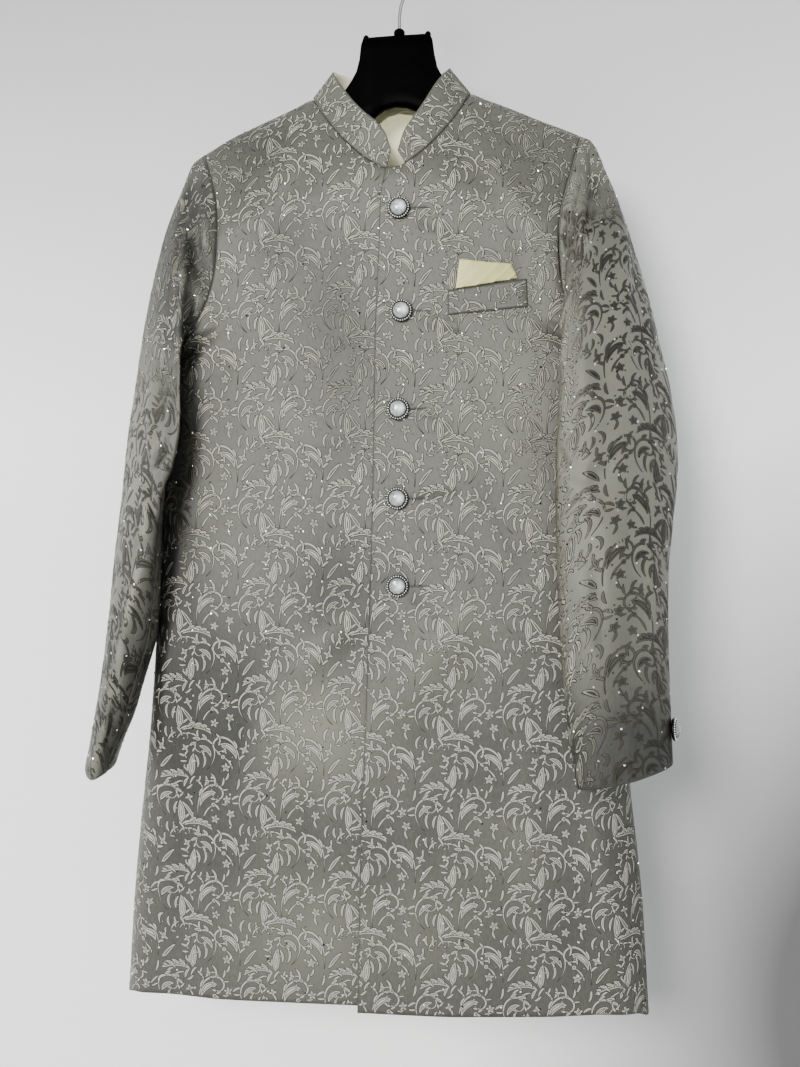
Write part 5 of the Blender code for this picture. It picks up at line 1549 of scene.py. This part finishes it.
# painted sheen and shade on the satin of each sleeve: x, drop, half width, half height, strength
sleeveSheen = {
    "right": metres((
        (-222, 300, 60, 85, -0.92), (-262, 540, 22, 80, 0.5), (-236, 405, 50, 60, -0.54),
        (-222, 500, 14, 120, -0.36), (-234, 640, 18, 90, -0.66), (-256, 770, 16, 70, -0.66),
        (-282, 850, 18, 40, -0.66), (-300, 830, 30, 60, -0.3), (-286, 750, 20, 50, -0.3),
    ), plain=(4,)),
    "left": metres((
        (215, 290, 40, 70, -0.42), (250, 480, 40, 100, 0.32), (245, 350, 35, 45, 0.24),
        (246, 425, 35, 40, 0.2), (256, 614, 35, 60, 0.24), (220, 860, 120, 84, -1.02),
        (235, 750, 80, 60, -0.12),
    ), plain=(4,)),
}
# drops, and how sheen-lit the figures of each sleeve are painted there
sleeveFigureSheen = {
    "right": ((0.24, 0.32, 0.43, 0.49), (0.42, 0.12, 0.42, 0.02)),
    "left": ((0.20, 0.25, 0.31, 0.70, 0.80), (0.76, 0.56, 0.02, 0.02, 0.02)),
}


# painted sheen: where the figures turn lighter along the inner side of the arm
innerArmSheen = {
    "right": metres(((-175, 380, 20, 50, 0.2),), plain=(4,)),
    "left": metres(((174, 780, 20, 150, 0.42), (170, 450, 18, 120, 0.4)), plain=(4,)),
}
# painted sheen of the sleeves: ground level, random cloudiness, painted highlight on fold ridges and painted
# shade in fold hollows
sleeveSheenSettings = {"ground": 0.76, "cloudy": 0.05, "foldOut": 190, "foldIn": 100}


def sleeveGround(side):
    def sheenShade(x, drop):
        total = sleeveSheenSettings["ground"] + patchSum(x, drop, sleeveSheen[side])
        total = total + sleeveSheenSettings["cloudy"] * unevenness(x, drop, 6)
        # folds paint sheen on their ridges and shade in their hollows
        for fold in sleeveFolds[side]:
            strength = sleeveSheenSettings["foldOut" if fold[5] > 0 else "foldIn"] * fold[5]
            total = total + strength * lineShare(x, drop, fold[:5])
        return np.clip(total, 0, 1)
    return sheenShade


def sleeveFigure(side):
    def sheenShade(x, drop):
        total = np.interp(drop + 0.12 * (x * x - 0.05), *sleeveFigureSheen[side])
        total = total + patchSum(x, drop, innerArmSheen[side]) + sleeveSheenSettings["cloudy"] * unevenness(x, drop, 8)
        return np.clip(total, 0, 1)
    return sheenShade


panels = {}
bodyTones = (groundSheenShade, figureSheenShade)
# the back is shaded as the middle of the front, without the shade of the arms
backTones = (lambda x, drop: groundSheenShade(0.02 + 0.6 * x, drop), lambda x, drop: figureSheenShade(0.02 + 0.6 * x, drop))
leftTones = (sleeveGround("left"), sleeveFigure("left"))
rightTones = (sleeveGround("right"), sleeveFigure("right"))
panelRows = (
    ("front_under_cloth", "front_under", underFine, underNormals, True, coat["wall"],
     bodyPlaces(underFine, -1), bodyTones, (0.006, 0.020)),
    ("front_over_cloth", "front_over", overFine, overNormals, False, coat["wall"],
     bodyPlaces(overFine, -1), bodyTones, (0.012, 0.026)),
    ("back_cloth", "back", backFine, backNormals, True, coat["wall"],
     bodyPlaces(backFine, 1), backTones, (0.0, 0.034)),
    ("collar_cloth", "collar_band", collarFine, gridNormals(collarFine, True), True, coat["wall"],
     bandPlaces(collarFine), bodyTones, (0.02, 0.055)),
)
for label, node, points, normals, flip, wall, places, tones, shift in panelRows:
    panels[node] = clothPanel(label, node, points, normals, flip, wall, places, tones, shift)
for side, parts, flip, tones in (("right", rightParts, False, rightTones),
                                 ("left", leftParts, True, leftTones)):
    for label, shift in (("top", (0.0, 0.03)), ("under", (0.04, 0.06))):
        node = "sleeve_" + side + "_" + label
        points = parts[label]
        panels[node] = clothPanel(node + "_cloth", node, points, gridNormals(points, flip), flip,
                                  coat["sleeveWall"], sleevePlaces(points), tones, shift,
                                  0.82)
print("cloth ready")


def surfaceTree(grid):
    return BVHTree.FromPolygons(grid.reshape(-1, 3).tolist(), gridQuads(*grid.shape[:2]).tolist())


# where the front (side -1) or the back (side 1) lies at a place
def surfaceY(tree, x, drop, side):
    hit = tree.ray_cast(Vector((x, 0.5 * side, -drop)), Vector((0, -side, 0)))
    return hit[0].y if hit[0] else float("nan")


overTree = surfaceTree(overFine)
backTree = surfaceTree(backFine)


# linings that show inside the neck; they stay inside the creased back
lining = {"wall": 0.0008, "waviness": 0.0004, "fromBack": 0.0028}


def wearOnly(obj, slot):
    obj.data.polygons.foreach_set("material_index", np.full(len(obj.data.polygons), slot, dtype=np.int32))


def liningShell(name, node, grid, flip, inset, rows, columns):
    points = finerPanel(grid, meanWay(grid), rows, columns)
    normals = gridNormals(points, flip)
    soft = lining["waviness"] * unevenness(points[:, :, 0] * 2, -points[:, :, 2] * 3, 12)
    points = points - normals * (inset + soft)[:, :, None]
    for spot in points.reshape(-1, 3):
        spot[1] = np.fmin(spot[1], surfaceY(backTree, spot[0], -spot[2], 1) - lining["fromBack"])
    places = bandPlaces(points)
    obj = shell(name, points, normals, lining["wall"], flip, places, np.full(points.shape[:2], 0.5), node)
    wearOnly(obj, 1)
    hungSheet(obj, points, places)
    return obj


liningTop = collarGrid.copy()
liningTop[0] = collarGrid[0] + (collarGrid[1] - collarGrid[0]) * 0.14
liningShell("collar_lining_satin", "collar_lining", liningTop, True, 0.0016, 14, 90)
yokeTop = backGrid[:8, 8:15].copy()
yokeTop[0] = yokeTop[0] - (yokeTop[1] - yokeTop[0]) * 0.3
liningShell("back_neck_lining_satin", "back_neck_lining", yokeTop, True, 0.0018, 30, 40)


# pieces on the over front: x, drop at their corners, columns and rows, lift off the cloth, wall
welt = {"corners": ((0.0568, 0.3806), (0.1371, 0.3690), (0.1377, 0.3980), (0.0568, 0.4059)),
        "columns": 64, "rows": 22, "lift": 0.0011, "puff": 0.0012, "wall": 0.0009}
square = {"corners": ((0.0689, 0.3492), (0.1211, 0.3544), (0.1282, 0.3690), (0.0650, 0.3790)),
          "columns": 72, "rows": 40, "lift": 0.0010, "wall": 0.0008, "flat": (0.066, 0.032)}


def frontY(x, drop):
    return surfaceY(overTree, x, drop, -1)


def patchGrid(piece, rise):
    across, down = piece["columns"], piece["rows"]
    a, b, c, d = [np.array(p) for p in piece["corners"]]
    grid = np.zeros((down + 1, across + 1, 3))
    for r in range(down + 1):
        for k in range(across + 1):
            u, v = k / across, r / down
            x, drop = (a * (1 - u) + b * u) * (1 - v) + (d * (1 - u) + c * u) * v
            grid[r, k] = (x, frontY(x, drop) - piece["lift"] - rise(u, v), -drop)
    return grid


def softEdge(u, v, width=0.06):
    away = min(u, 1 - u, v * 0.5, (1 - v) * 0.5) / width
    return min(1.0, away) ** 0.5 if away > 0 else 0.0


weltGrid = patchGrid(welt, lambda u, v: welt["puff"] * softEdge(u, v))
weltNormals = gridNormals(weltGrid, False)
# the welt gets one fixed, darker painted sheen over its ground
weltTones = (lambda x, drop: np.full(np.shape(x), 0.30), figureSheenShade)
clothPanel("breast_welt_cloth", "breast_welt", weltGrid, weltNormals, False, welt["wall"],
           bandPlaces(weltGrid), weltTones, (0.03, 0.01))


# slanting pleats across the folded square
def squareRise(u, v):
    fold = (u * 1.25 + v * 0.55) * 3.1
    step = fold - math.floor(fold)
    deep = 0.0012 + 0.0030 * u
    return 0.0010 + deep * (1 - step) ** 1.4 * softEdge(u, v, 0.05) + 0.0004 * math.sin(9 * u - 4 * v)


squareGrid = patchGrid(square, squareRise)
pocketSquare = shell("pocket_square_satin", squareGrid, gridNormals(squareGrid, False), square["wall"], False,
                     bandPlaces(squareGrid), np.full(squareGrid.shape[:2], 0.5), "pocket_square")
pocketSquare.data.materials.clear()
pocketSquare.data.materials.append(squareLook)
wearOnly(pocketSquare, 0)
print("pocket ready")


# buttons; profiles are (radius, height)
button = {
    "base": ((0.0080, 0.0040), (0.0088, 0.0034), (0.0106, 0.0032), (0.0114, 0.0029), (0.0115, 0.0022),
             (0.0112, 0.0011), (0.0098, 0.0003), (0.0, 0.0)),
    "bezel": ((0.0085, 0.0045), (0.0087, 0.0047), (0.0090, 0.0046), (0.0092, 0.0041), (0.0091, 0.0032)),
    "dome": ((0.0, 0.0076), (0.0018, 0.0075), (0.0034, 0.0073), (0.0060, 0.0066), (0.0077, 0.0056),
             (0.0086, 0.0043)),
    "steps": 48,
    "facets": 10,            # flat faces round the dome
    "beads": 26,
    "beadRing": 0.01015,
    "beadHeight": 0.0037,
    "beadSize": 0.78,
    "highlightAt": 0.0031,       # the painted white highlight, away from the middle
    "highlightReach": 0.0034,
}


# its UVs say how far out each point lies, and how near the spot of the painted highlight
def placedMesh(name, rows, steps, matrix, look, smoothly, spin=0.0):
    verts, faces = turnedRows(rows, steps)
    paintedHighlight = (button["highlightAt"] * math.cos(spin), -button["highlightAt"] * math.sin(spin))
    rim = button["dome"][-1][0]
    reach = [(math.hypot(x, y) / rim, math.exp(-((x - paintedHighlight[0]) ** 2 + (y - paintedHighlight[1]) ** 2)
                                               / button["highlightReach"] ** 2)) for x, y, *_ in verts]
    verts = [tuple(matrix @ Vector(v)) for v in verts]
    obj = meshObject(name, verts, faces, (look,), "dome", reach)
    if not smoothly:
        obj.data.shade_flat()
    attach(obj, "root")
    return obj


def makeButton(node, place, axis, spin):
    matrix = Matrix.Translation(place) @ Vector(axis).to_track_quat("Z", "Y").to_matrix().to_4x4()
    matrix = matrix @ Matrix.Rotation(spin, 4, "Z")
    base = placedMesh(node + "_base", button["base"], button["steps"], matrix, bezelLook, True)
    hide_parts(node)
    placedMesh(node + "_bezel", button["bezel"], button["steps"], matrix, bezelLook, True)
    placedMesh(node + "_dome", button["dome"], button["facets"], matrix, pearlLook, False, spin)
    turns = [2 * math.pi * k / button["beads"] for k in range(button["beads"])]
    spots = [matrix @ Vector((button["beadRing"] * math.cos(t), button["beadRing"] * math.sin(t),
                              button["beadHeight"])) for t in turns]
    facing = [matrix.to_3x3() @ Vector((0, 0, 1))] * len(spots)
    along = [matrix.to_3x3() @ Vector((math.cos(t), math.sin(t), 0)) for t in turns]
    setShapes(node + "_beads", spots, facing, along, [button["beadSize"]] * len(spots), beadShape, beadLook)


for k in range(len(coat["buttonDrops"])):
    node = "button_%d" % (k + 1)
    low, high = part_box(node)
    makeButton(node, ((low[0] + high[0]) / 2, high[1], (low[2] + high[2]) / 2), (0, -1, 0), 0.3 * k)

cuff = {"ring": 0.925, "column": 3 * armSteps // 2 + 1, "lift": 0.0010}
for node, outer in (("cuff_button_right", rightSleeve), ("cuff_button_left", leftSleeve)):
    ring = ringShares.index(cuff["ring"])
    c = cuff["column"]
    spot = outer[ring, c]
    way = np.cross(outer[ring, c + 1] - outer[ring, c - 1], outer[ring + 1, c] - outer[ring - 1, c])
    way = way / np.linalg.norm(way)
    if np.dot(way, spot - outer[ring].mean(axis=0)) < 0:
        way = -way
    makeButton(node, spot + way * cuff["lift"], way, 0.0)
print("buttons ready")


# sewing: small bars of thread along a path
barShape = shapeObject("bar shape", [(-0.0015, -0.00026, 0), (0.0015, -0.00026, 0), (0.0015, 0.00026, 0),
                                     (-0.0015, 0.00026, 0), (-0.0011, 0, 0.00030), (0.0011, 0, 0.00030)],
                       [(0, 1, 5, 4), (2, 3, 4, 5), (1, 2, 5), (3, 0, 4)])


def unit(rows):
    return rows / np.linalg.norm(rows, axis=1, keepdims=True)


def stitches(name, path, facing, spacing, size, lift=0.0001):
    way = runningSum(np.linalg.norm(np.diff(path, axis=0), axis=1))
    stops = np.arange(spacing / 2, way[-1], spacing)

    def at(stops, values):
        return np.stack([np.interp(stops, way, values[:, k]) for k in range(3)], axis=1)

    ups = unit(at(stops, facing))
    ahead = at(stops + 0.001, path) - at(stops - 0.001, path)
    setShapes(name, at(stops, path) + ups * lift, ups, ahead, [size] * len(stops), barShape, threadAndShadeLook)


# a row of stitches between two rows of a grid: name, panel, first row, share of the first, row it faces as,
# spacing, size, lift
overAcross = {"points": overFine.transpose(1, 0, 2), "normals": overNormals.transpose(1, 0, 2)}
seamRows = [
    # the front edge and collar base rows are seam stitches that also paint the dark shade along those edges
    ("front_edge_seam", overAcross, 0, 1, 0.80, 0, 0.0031, 1.0, 0.0001),
    ("front_edge_picks", overAcross, 1, 2, 0.60, 1, 0.0062, 0.55, 0.0001),
    ("over_hem_seam", panels["front_over"], -1, -2, 0.75, -2, 0.0036, 0.9, 0.0001),
    ("under_hem_seam", panels["front_under"], -1, -2, 0.75, -2, 0.0036, 0.9, 0.0001),
    ("back_hem_seam", panels["back"], -1, -2, 0.75, -2, 0.0036, 0.9, 0.0001),
    ("collar_base_seam", panels["collar_band"], -1, -2, 0.6, -2, 0.0031, 1.0, 0.0001),
    ("collar_top_seam", panels["collar_band"], 0, 1, 0.5, 1, 0.0040, 0.7, 0.0001),
]
for side in ("right", "left"):
    for label in ("top", "under"):
        seamRows.append(("cuff_seam_" + side + "_" + label, panels["sleeve_" + side + "_" + label],
                         -1, -2, 0.6, -2, 0.0036, 0.9, 0.0001))
# armhole stitches: seam thread that also paints the shade in the armhole seam
for side in ("right", "left"):
    seamRows.append(("armhole_seam_" + side, panels["sleeve_" + side + "_top"],
                     0, 1, 0.4, 1, 0.0030, 1.0, 0.0002))
for name, panel, row, inner, share, faceRow, spacing, size, lift in seamRows:
    path = panel["points"][row] * share + panel["points"][inner] * (1 - share)
    stitches(name, path, panel["normals"][faceRow], spacing, size, lift)

# welt edges
for label, row in (("top", 1), ("bottom", -2), ("inner", (slice(None), 1)), ("outer", (slice(None), -2))):
    stitches("welt_" + label + "_seam", weltGrid[row], weltNormals[row], 0.0026, 0.9, 0.0003)


# buttonholes: a worked slit beside each button, drawn as dark bars that also paint the shade in the slit, and
# the stitches along either side of it
buttonhole = {"from": 0.0100, "to": 0.0290, "half": 0.0012, "count": 22, "size": 0.50, "tilt": 0.0006}


def frontPath(x0, d0, x1, d1, count):
    xs, drops = np.linspace(x0, x1, count), np.linspace(d0, d1, count)
    points = np.array([(x, frontY(x, d), -d) for x, d in zip(xs, drops)])
    ups = np.array([(frontY(x + 0.002, d) - frontY(x - 0.002, d), -0.004,
                     frontY(x, d - 0.002) - frontY(x, d + 0.002)) for x, d in zip(xs, drops)])
    return points, unit(ups)


for k, (x, drop) in enumerate(zip(coat["buttonX"], coat["buttonDrops"])):
    tilt = buttonhole["tilt"] * math.sin(k * 2.1)
    slit, ups = frontPath(x + buttonhole["from"], drop, x + buttonhole["to"], drop + tilt, 12)
    stitches("buttonhole_slit_%d" % (k + 1), slit, ups, 0.0021, 1.6, 0.0004)
    sides = [frontPath(x + buttonhole["from"], drop + offset, x + buttonhole["to"], drop + tilt + offset,
                       buttonhole["count"]) for offset in (-buttonhole["half"], buttonhole["half"])]
    line, ups = (np.concatenate(values) for values in zip(*sides))
    setShapes("buttonhole_thread_%d" % (k + 1), line + ups * 0.0002, ups, [(0.0, 0.0, 1.0)] * len(line),
              [buttonhole["size"]] * len(line), barShape, figureThread)
print("sewing ready")


# hanger: x, top drop, bottom drop, half depth
hangerRows = metres((
    (-193, 206.2, 209.7, 3), (-190, 200.3, 215.3, 7), (-182, 195.6, 215.6, 8.5),
    (-160, 186.2, 208.2, 8.8), (-130, 173.8, 197.8, 8.8), (-105, 163.1, 189.1, 8.5),
    (-92.9, 157.8, 185.3, 8.2), (-82, 160, 185, 7.8), (-68, 156, 185, 7.8), (-56.5, 144, 186, 8),
    (-50.5, 135.1, 186, 8), (-45, 125, 185, 8), (-41.7, 111.5, 183, 8), (-40, 96, 182, 8),
    (-37.5, 89, 181, 8), (-28.5, 88.6, 177.5, 8.5), (-15, 88.2, 167.2, 8.5), (-2.5, 88, 164.4, 8.5),
    (10, 87.8, 166, 8.5), (23, 87.6, 171.6, 8.5), (35, 87.4, 178, 8), (37.8, 94.5, 179, 8),
    (40, 110, 180, 8), (43, 124, 181, 8), (49, 136, 182, 8), (56, 149, 183, 8), (68, 162, 185, 7.8),
    (78.8, 159, 186.5, 8.2), (95, 165.4, 191.4, 8.5), (120, 175.5, 199.5, 8.8), (145, 186.8, 208.8, 8.8),
    (164, 195.2, 215.2, 8.5), (172, 199.1, 214.1, 7), (175, 204.7, 208.2, 3),
))
hangerFine = {"between": 5, "steps": 44, "squareness": 0.55, "rib": 0.0008, "sharp": 38}


def hangerMesh():
    table = np.array(hangerRows)
    xs = np.unique(np.concatenate([np.linspace(a, b, hangerFine["between"])
                                   for a, b in zip(table[:-1, 0], table[1:, 0])]))
    top, bottom, depth = (np.interp(xs, table[:, 0], table[:, k]) for k in (1, 2, 3))
    steps = hangerFine["steps"]
    turn = np.arange(steps) * 2 * math.pi / steps
    c, s = (np.sign(wave) * np.abs(wave) ** hangerFine["squareness"] for wave in (np.cos(turn), np.sin(turn)))
    # a shallow sunk face inside a raised rim, as moulded bars have
    sunk = hangerFine["rib"] * np.clip((0.72 - np.abs(c)) * 6, 0, 1)
    verts = np.stack([np.repeat(xs[:, None], steps, axis=1), depth[:, None] * s - np.sign(s) * sunk,
                      -(top + bottom)[:, None] / 2 + (bottom - top)[:, None] / 2 * c], axis=2)
    faces = [tuple(r * steps + k for r, k in ((row, turn), (row, (turn + 1) % steps),
                                              (row + 1, (turn + 1) % steps), (row + 1, turn)))
             for row in range(len(xs) - 1) for turn in range(steps)]
    faces += [tuple(range(steps))[::-1], tuple(range((len(xs) - 1) * steps, len(xs) * steps))]
    obj = meshObject("hanger_moulded_body", verts.reshape(-1, 3), faces, (plasticLook,))
    bm = bmesh.new()
    bm.from_mesh(obj.data)
    bmesh.ops.recalc_face_normals(bm, faces=bm.faces)
    bm.to_mesh(obj.data)
    bm.free()
    obj.data.set_sharp_from_angle(angle=math.radians(hangerFine["sharp"]))
    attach(obj, "root")
    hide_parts("hanger_body")


hangerMesh()
# a small round stop at each top corner of the block: profile, then x, drop of each
stopRows = ((0.0, 0.0034), (0.0017, 0.0029), (0.0031, 0.0012), (0.0034, 0.0), (0.0031, -0.0012),
            (0.0017, -0.0029), (0.0, -0.0034))
hangerStops = metres(((-34.8, 88.5), (32.6, 87.2)))
for k, (x, drop) in enumerate(hangerStops):
    verts, faces = turnedRows(stopRows, 20)
    stop = meshObject("hanger_stop_%d" % (k + 1), np.array(verts) + (x, 0.0, -drop), faces, (plasticLook,))
    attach(stop, "root")
for node, look in (("hanger_boss", plasticLook), ("hanger_hook", wireLook)):
    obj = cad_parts[node]
    obj.data.materials.clear()
    obj.data.materials.append(look)


# backdrop, floor, lights and camera; where the wall falls into shade: middle (x, z), reach (x, z), depth
stageShades = (((-0.20, 0.45), (2.2, 0.95), 0.98), ((0.62, -1.20), (0.56, 0.74), 1.46),
               ((-0.56, 0.06), (0.55, 0.55), 0.20))


def stageLook(name, colour, shades, solid):
    mat, tree, shader = nodeMaterial(name)
    place, cloud = clouds(tree, 240.0)
    tint = mixColour(tree, cloud, tuple(c * 0.97 for c in colour), colour)
    # painted shade: each one darkens the wall round its middle
    for middle, reach, depth in shades:
        spot = newNode(tree, "ShaderNodeMapping", {
            "Vector": place, "Scale": (1 / reach[0], 0.0, 1 / reach[1]),
            "Location": (-middle[0] / reach[0], 0.0, -middle[1] / reach[1])}).outputs[0]
        ball = newNode(tree, "ShaderNodeTexGradient", {0: spot}, gradient_type="SPHERICAL").outputs["Fac"]
        share = mathNode(tree, "MULTIPLY", ball, depth, True)
        tint = mixColour(tree, share, tint, tuple(c * 0.12 for c in colour))
    finish(shader, {"Base Color": tint, "Roughness": 0.85})
    bumpInto(shader, cloud, 0.06, 0.001)
    if not solid:            # seen from its front only, and it casts no shadow
        behind = tree.nodes.new("ShaderNodeNewGeometry").outputs["Backfacing"]
        shadow = tree.nodes.new("ShaderNodeLightPath").outputs["Is Shadow Ray"]
        clear = tree.nodes.new("ShaderNodeBsdfTransparent").outputs[0]
        mixed = newNode(tree, "ShaderNodeMixShader", {0: mathNode(tree, "MAXIMUM", behind, shadow),
                                                      1: shader.outputs[0], 2: clear})
        feed(tree.nodes["Material Output"].inputs[0], mixed.outputs[0])
    return mat


stage = {"wallY": 0.155, "floorZ": -1.40, "wide": 4.0, "tall": 3.2, "deep": 4.0}


# near and far are the y, z of its two long edges
def stagePlane(name, near, far, look):
    wide = stage["wide"]
    corners = ((-wide, *near), (wide, *near), (wide, *far), (-wide, *far))
    return meshObject(name, corners, [(0, 1, 2, 3)], (look,))


wallObject = stagePlane("backdrop_wall", (stage["wallY"], stage["floorZ"]), (stage["wallY"], stage["tall"]),
                        stageLook("pale wall", (0.90, 0.905, 0.90), stageShades, False))
floorObject = stagePlane("pale_floor", (-stage["deep"], stage["floorZ"]), (stage["deep"], stage["floorZ"]),
                         stageLook("pale floor", (0.78, 0.78, 0.77), (), True))

world = bpy.data.worlds.new("soft room")
bpy.context.scene.world = world
world.use_nodes = True
background = world.node_tree.nodes["Background"]
feed(background.inputs[0], (0.93, 0.96, 1.0))
feed(background.inputs[1], 0.95)

lightRows = (      # name, place, aim, size, power, colour
    ("key", (-0.75, -2.45, 0.05), (0.0, 0.0, -0.60), 0.90, 101.0, (1.0, 0.985, 0.96)),
    ("fill left", (-2.30, -1.30, -0.60), (0.0, 0.0, -0.80), 1.20, 15.0, (0.95, 0.98, 1.0)),
    ("back fill", (0.6, 2.30, 0.60), (0.0, 0.0, -0.60), 1.60, 45.0, (1.0, 1.0, 1.0)),
    ("neck", (0.010, -0.95, -0.400), (-0.001, 0.03, -0.168), 0.02, 30.0, (1.0, 0.985, 0.92)),
)
for name, place, aim, size, power, colour in lightRows:
    data = bpy.data.lights.new(name, "SPOT" if name == "neck" else "AREA")
    if name == "neck":
        data.spot_size = math.radians(4.6)
        data.spot_blend = 0.6
        data.shadow_soft_size = size
    else:
        data.shape = "DISK"
        data.size = size
    data.energy = power
    data.color = colour
    lamp = bpy.data.objects.new(name, data)
    bpy.context.scene.collection.objects.link(lamp)
    lamp.location = place
    lamp.rotation_mode = "QUATERNION"
    lamp.rotation_quaternion = (Vector(aim) - Vector(place)).to_track_quat("-Z", "Y")

cameraRow = {"lens": 32.757, "place": (0.10328, -1.04994, -0.628), "turn": 5.5}
cameraData = bpy.data.cameras.new("front view")
cameraData.sensor_fit = "VERTICAL"
cameraData.sensor_height = 36.0
cameraData.sensor_width = 36.0
cameraData.lens = cameraRow["lens"]
camera = bpy.data.objects.new("front view", cameraData)
bpy.context.scene.collection.objects.link(camera)
camera.location = cameraRow["place"]
camera.rotation_euler = (math.pi / 2, 0.0, math.radians(cameraRow["turn"]))
bpy.context.scene.camera = camera

print("sheets", sheetRows)
